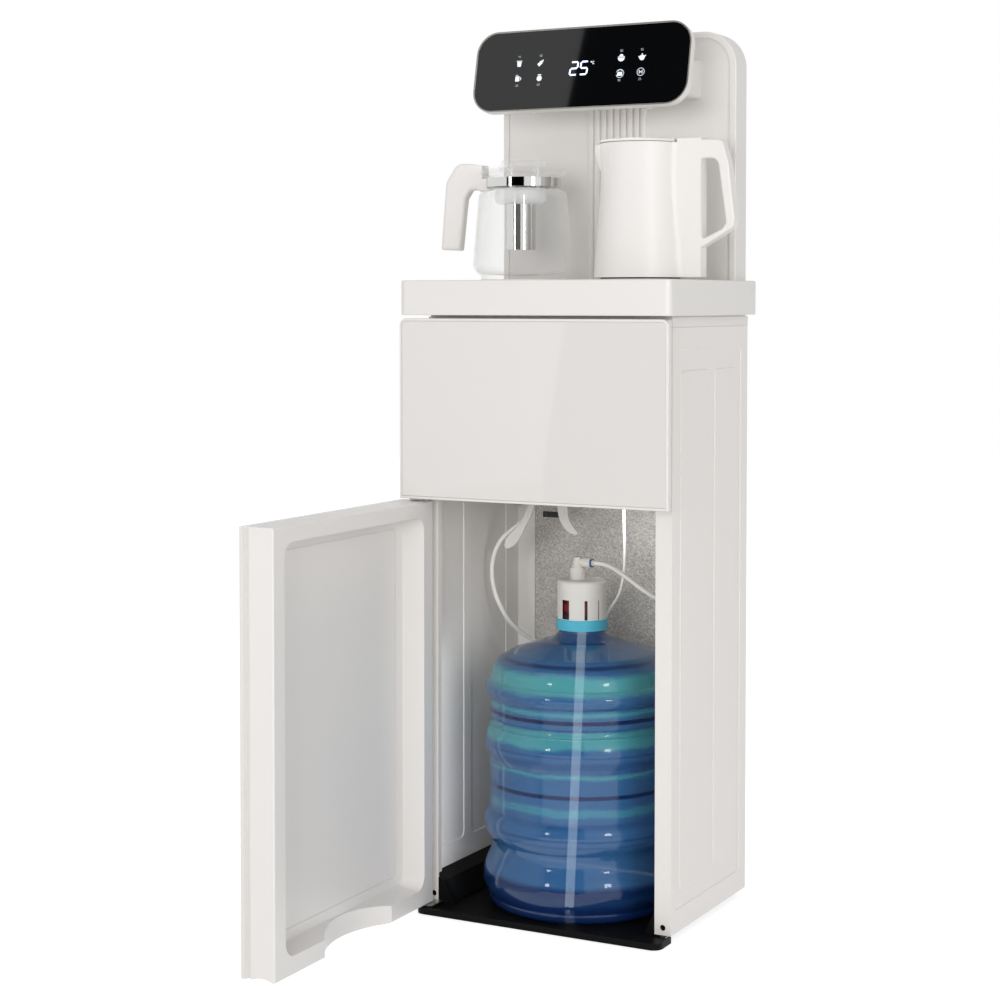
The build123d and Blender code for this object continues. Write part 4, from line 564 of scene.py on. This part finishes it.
trimPlace = facePlace.copy()
trimPlace.translation += outwards * headTrim["lift"]
inner, outer = grown(headTrim["inner"]), grown(headTrim["outer"])
trimFinish = metal("trimSilver", (176, 172, 165), 0.32, stretch=(0.05, 1, 1))
addPiece(frameMesh("headTrim", inner, outer, trimPlace, headTrim["thick"]), "cabinet", trimFinish)

# bars that each number lights: a at the top, then clockwise to f, and g in the middle
segmentShapes = {
    "2": "abged", "5": "afgcd", "4": "fgbc", "8": "abcdefg", "0": "abcdef", "9": "abcdfg", "6": "afgedc",
}
digitForm = {"width": 0.58, "gap": 0.26, "bar": 0.125, "inset": 0.015}  # shares of the height


def digitOutlines(text, x, y, height, slant=0.0):
    # seven-bar numbers with pointed bars, drawn from the lower left corner
    width, gap, bar, inset = [digitForm[key] * height for key in ("width", "gap", "bar", "inset")]
    half = height / 2
    outlines = []
    for index, sign in enumerate(text):
        x0 = x + index * (width + gap)
        along = {
            "a": ((0, height), (width, height)), "g": ((0, half), (width, half)), "d": ((0, 0), (width, 0)),
            "f": ((0, half), (0, height)), "e": ((0, 0), (0, half)),
            "b": ((width, half), (width, height)), "c": ((width, 0), (width, half)),
        }
        for bit in segmentShapes[sign]:
            (ax, ay), (bx, by) = along[bit]
            if ay == by:
                ax, bx = ax + inset, bx - inset
                shape = [(ax, ay), (ax + bar / 2, ay + bar / 2), (bx - bar / 2, by + bar / 2), (bx, by),
                         (bx - bar / 2, by - bar / 2), (ax + bar / 2, ay - bar / 2)]
            else:
                ay, by = ay + inset, by - inset
                shape = [(ax, ay), (ax + bar / 2, ay + bar / 2), (bx + bar / 2, by - bar / 2), (bx, by),
                         (bx - bar / 2, by - bar / 2), (ax - bar / 2, ay + bar / 2)]
            outlines.append([(x0 + px + slant * py, y + py) for px, py in shape])
    return outlines


display = {"digits": "25", "corner": (-0.0150, 0.0460), "height": 0.0182, "slant": 0.09}
outlines = digitOutlines(display["digits"], *display["corner"], display["height"], display["slant"])
addPiece(prismMesh("displayDigits", outlines, facePlace, headFace["thick"]), "cabinet", digitLight)

# degree mark: a small disc and a hooked bar
degreeMark = {
    "disc": (0.0170, 0.0632, 0.0011, 16),
    "hook": [(0.0190, 0.0600), (0.0190, 0.0642), (0.0215, 0.0642), (0.0215, 0.0634), (0.0198, 0.0634),
             (0.0198, 0.0608), (0.0215, 0.0608), (0.0215, 0.0600)],
}
outlines = [circle(*degreeMark["disc"]), degreeMark["hook"]]
addPiece(prismMesh("degreeMark", outlines, facePlace, headFace["thick"]), "cabinet", iconLight)


def arcBand(x, y, radius, width, start, end, count=18):
    outer = arc(x, y, radius, start, end, count)
    inner = arc(x, y, radius - width, start, end, count)
    return outer + inner[::-1]


# key symbols, in millimetres around each key's centre
symbols = {
    "cup": [[(-2.6, 2.4), (-1.9, -2.8), (1.9, -2.8), (2.6, 2.4)], boxOutline(-3.2, 3.2, 2.9, 3.6)],
    "feeder": [moved(part, 0, 0, 45) for part in (
        boxOutline(-3.6, 1.6, -1.7, 1.7), boxOutline(1.9, 2.9, -1.2, 1.2),
        [(3.1, -0.8), (4.6, -0.3), (4.6, 0.3), (3.1, 0.8)],
    )],
    "mug": [boxOutline(-3.0, 1.6, -3.0, 2.4), arcBand(1.9, -0.2, 1.9, 0.7, -80, 80),
            boxOutline(-2.6, -1.9, 3.0, 4.0), boxOutline(-0.9, -0.2, 3.0, 4.0)],
    "jar": [circle(0, -1.0, 2.9, 24), boxOutline(-1.9, 1.9, 2.2, 3.4)],
    "bowl": [arcBand(0, 0.4, 3.8, 3.79, 180, 360), boxOutline(-3.8, 3.8, 0.9, 1.7),
             arcBand(0, 2.0, 2.2, 2.19, 0, 180)],
    "pot": [circle(0, -0.6, 2.9, 24), boxOutline(-3.9, -2.8, -0.4, 0.9),
            [(2.7, -0.4), (4.4, 1.6), (3.6, 1.9), (2.2, 0.9)], boxOutline(-0.6, 0.6, 2.6, 3.6)],
    "kettle": [[(-2.6, 1.0), (-3.3, -3.0), (3.0, -3.0), (2.3, 1.0)], arcBand(0, 1.3, 2.6, 0.6, 10, 170),
               arcBand(0, -0.6, 4.5, 0.45, 200, 520)],
    "hold": [arcBand(0, 0, 4.2, 0.5, 0, 357), boxOutline(-1.9, -1.1, -1.8, 1.8),
             boxOutline(1.1, 1.9, -1.8, 1.8), circle(0, 0, 0.7, 14)],
}
# each key: its symbol, place in millimetres, number, and the side that the number stands on
keys = [
    ("cup", -95.0, 66.0, "45", 1), ("feeder", -61.5, 66.0, "50", 1), ("mug", -95.0, 45.0, "85", -1),
    ("jar", -61.5, 45.0, "60", -1), ("bowl", 62.0, 66.0, "90", 1), ("pot", 93.0, 66.0, "95", 1),
    ("kettle", 62.0, 45.0, "98", -1), ("hold", 93.0, 45.0, "25", -1),
]
keyLayout = {
    "symbolScale": 1.35, "numberHeight": 2.7, "numberAway": 10.4, "numberLeft": 2.4, "numberDrop": 1.2,
}
keyOutlines, numberOutlines = [], []
for symbol, x, y, number, side in keys:
    for outline in symbols[symbol]:
        placed = moved(outline, x, y, scale=keyLayout["symbolScale"])
        keyOutlines.append([(px / 1000, py / 1000) for px, py in placed])
    left, low = x - keyLayout["numberLeft"], y + side * keyLayout["numberAway"] - keyLayout["numberDrop"]
    numberOutlines += digitOutlines(number, left / 1000, low / 1000, keyLayout["numberHeight"] / 1000)
addPiece(prismMesh("keySymbols", keyOutlines, facePlace, headFace["thick"]), "cabinet", iconLight)
addPiece(prismMesh("keyNumbers", numberOutlines, facePlace, headFace["thick"]), "cabinet", numberLight)
print("display drawn")


# each lamp: its name, place, target, width and height, and watts
studio = {
    "floorSize": 14.0, "floorColour": (196, 196, 196), "floorLift": 0.8, "floorGlow": 0.3, "ambient": 0.42,
    "lamps": [
        ("keyLamp", (-2.3, -3.4, 2.0), (0, -0.05, 0.6), (2.4, 2.4), 10),
        ("frontLamp", (0.6, -3.8, 1.15), (0, 0, 0.6), (1.4, 1.0), 45),
        ("fillLamp", (3.2, -2.2, 1.8), (0.1, 0, 0.6), (1.8, 1.8), 25),
        ("lowFill", (3.0, -1.6, 0.5), (0.1, 0, 0.4), (1.6, 1.2), 15),
        ("topLamp", (-0.2, -0.8, 3.4), (0, 0, 0.9), (1.6, 1.6), 7),
        ("headLamp", (-0.02, -0.075, 1.085), (-0.02, -0.02, 0.87), (0.26, 0.03), 0.035),
        ("bayLeftLamp", (-0.150, -0.125, 0.20), (-0.155, 0.160, 0.20), (0.02, 0.34), 0.06),
        ("bayRightLamp", (0.06, 0.02, 0.545), (0.06, 0.16, 0.44), (0.12, 0.03), 0.09),
    ],
}


def aim(thing, target):
    way = Vector(target) - thing.location
    thing.rotation_euler = way.to_track_quat("-Z", "Y").to_euler()


for name, place, target, size, power in studio["lamps"]:
    light = bpy.data.lights.new(name, "AREA")
    light.shape = "RECTANGLE"
    light.size, light.size_y = size
    light.energy = power
    thing = bpy.data.objects.new(name, light)
    thing.location = place
    aim(thing, target)
    thing.visible_glossy = thing.visible_camera = thing.visible_transmission = False
    bpy.context.scene.collection.objects.link(thing)


def flatCard(name, corners, finish):
    mesh = bpy.data.meshes.new(name)
    mesh.from_pydata(corners, [], [list(range(len(corners)))])
    mesh.materials.append(finish)
    card = bpy.data.objects.new(name, mesh)
    bpy.context.scene.collection.objects.link(card)
    return card


def seenDirectly(tree):
    # 1 for what the camera, a mirror or glass shows, and 0 for light that falls on the object
    path = addNode(tree, "LightPath")
    seen = calc(tree, "MAXIMUM", path.outputs["Is Camera Ray"], path.outputs["Is Glossy Ray"])
    return calc(tree, "MAXIMUM", seen, path.outputs["Is Transmission Ray"])


def showInGlossOnly(card):
    card.visible_camera = card.visible_diffuse = card.visible_shadow = card.visible_transmission = False


def floorFinish():
    finish, tree, shader = newFinish("studioFloor", {"Roughness": 0.9})
    tone = useGroup(tree, toneGroup, {"Colour": srgb(*studio["floorColour"]), "Amount": 0.01, "Scale": 0.8,
                                      "Base Roughness": 0.9})
    tree.links.new(tone.outputs["Colour"], shader.inputs["Base Color"])
    # where it is seen, the lit floor is lifted to white and keeps the shadow
    shader.inputs["Emission Color"].default_value = (1, 1, 1, 1)
    lift = calc(tree, "MULTIPLY", seenDirectly(tree), studio["floorLift"] - studio["floorGlow"])
    tree.links.new(calc(tree, "ADD", lift, studio["floorGlow"]), shader.inputs["Emission Strength"])
    return finish


half = studio["floorSize"] / 2
floor = [(x, y, 0) for x, y in boxOutline(-half, half, -half, half)]
flatCard("studioFloor", floor, floorFinish())

unlit = {"Base Color": (0, 0, 0, 1), "Roughness": 1.0}

# dark card behind the camera: its slanted left edge is what the panes mirror
darkCard = {
    "y": -4.0, "right": 2.2,
    "edge": [(-1.95, 0.02), (-1.931, 0.159), (-1.83, 0.778), (-2.24, 3.351), (-2.22, 4.4)],
}
low, high = darkCard["edge"][0][1], darkCard["edge"][-1][1]
rim = darkCard["edge"] + [(darkCard["right"], high), (darkCard["right"], low)]
cardFinish = newFinish("darkCard", {**unlit, "Specular IOR Level": 0.0})[0]
showInGlossOnly(flatCard("darkCard", [(x, darkCard["y"], z) for x, z in rim], cardFinish))

# bright cards that only the gloss sees: they make the highlights on the bottle's ribs
highlights = {
    "strength": 14.0, "high": 0.5,
    "cards": [("highlightRight", (2.60, -1.74, 1.05), 0.42), ("highlightLeft", (-0.95, -3.70, 1.10), 0.34)],
}
brightCard = {**unlit, "Emission Color": (1, 1, 1, 1), "Emission Strength": highlights["strength"]}
highlightFinish = newFinish("highlightCard", brightCard)[0]
for name, centre, wide in highlights["cards"]:
    across = Vector((-centre[1], centre[0], 0)).normalized() * wide / 2
    middle, rise = Vector(centre), Vector((0, 0, highlights["high"] / 2))
    corners = [middle - across - rise, middle + across - rise, middle + across + rise, middle - across + rise]
    showInGlossOnly(flatCard(name, [tuple(corner) for corner in corners], highlightFinish))

world = bpy.data.worlds.new("studioWorld")
bpy.context.scene.world = world
world.use_nodes = True
background = world.node_tree.nodes["Background"]
background.inputs["Color"].default_value = (1, 1, 1, 1)
seen = seenDirectly(world.node_tree)
level = calc(world.node_tree, "MULTIPLY_ADD", seen, 1 - studio["ambient"], studio["ambient"])
world.node_tree.links.new(level, background.inputs["Strength"])

view = {
    "place": (1.26690, -2.64583, 0.84798), "yaw": 28.179, "pitch": 2.232, "lens": 75.305, "sensor": 36,
    "shift": (0.004757, -0.117549),
}
lensData = bpy.data.cameras.new("viewCamera")
lensData.lens = view["lens"]
lensData.sensor_width = view["sensor"]
lensData.shift_x, lensData.shift_y = view["shift"]
lensData.clip_start = 0.05
camera = bpy.data.objects.new("viewCamera", lensData)
camera.location = view["place"]
camera.rotation_euler = (radians(90 - view["pitch"]), 0, radians(view["yaw"]))
bpy.context.scene.collection.objects.link(camera)
bpy.context.scene.camera = camera
bpy.context.scene.view_settings.view_transform = "Standard"
print("studio ready")
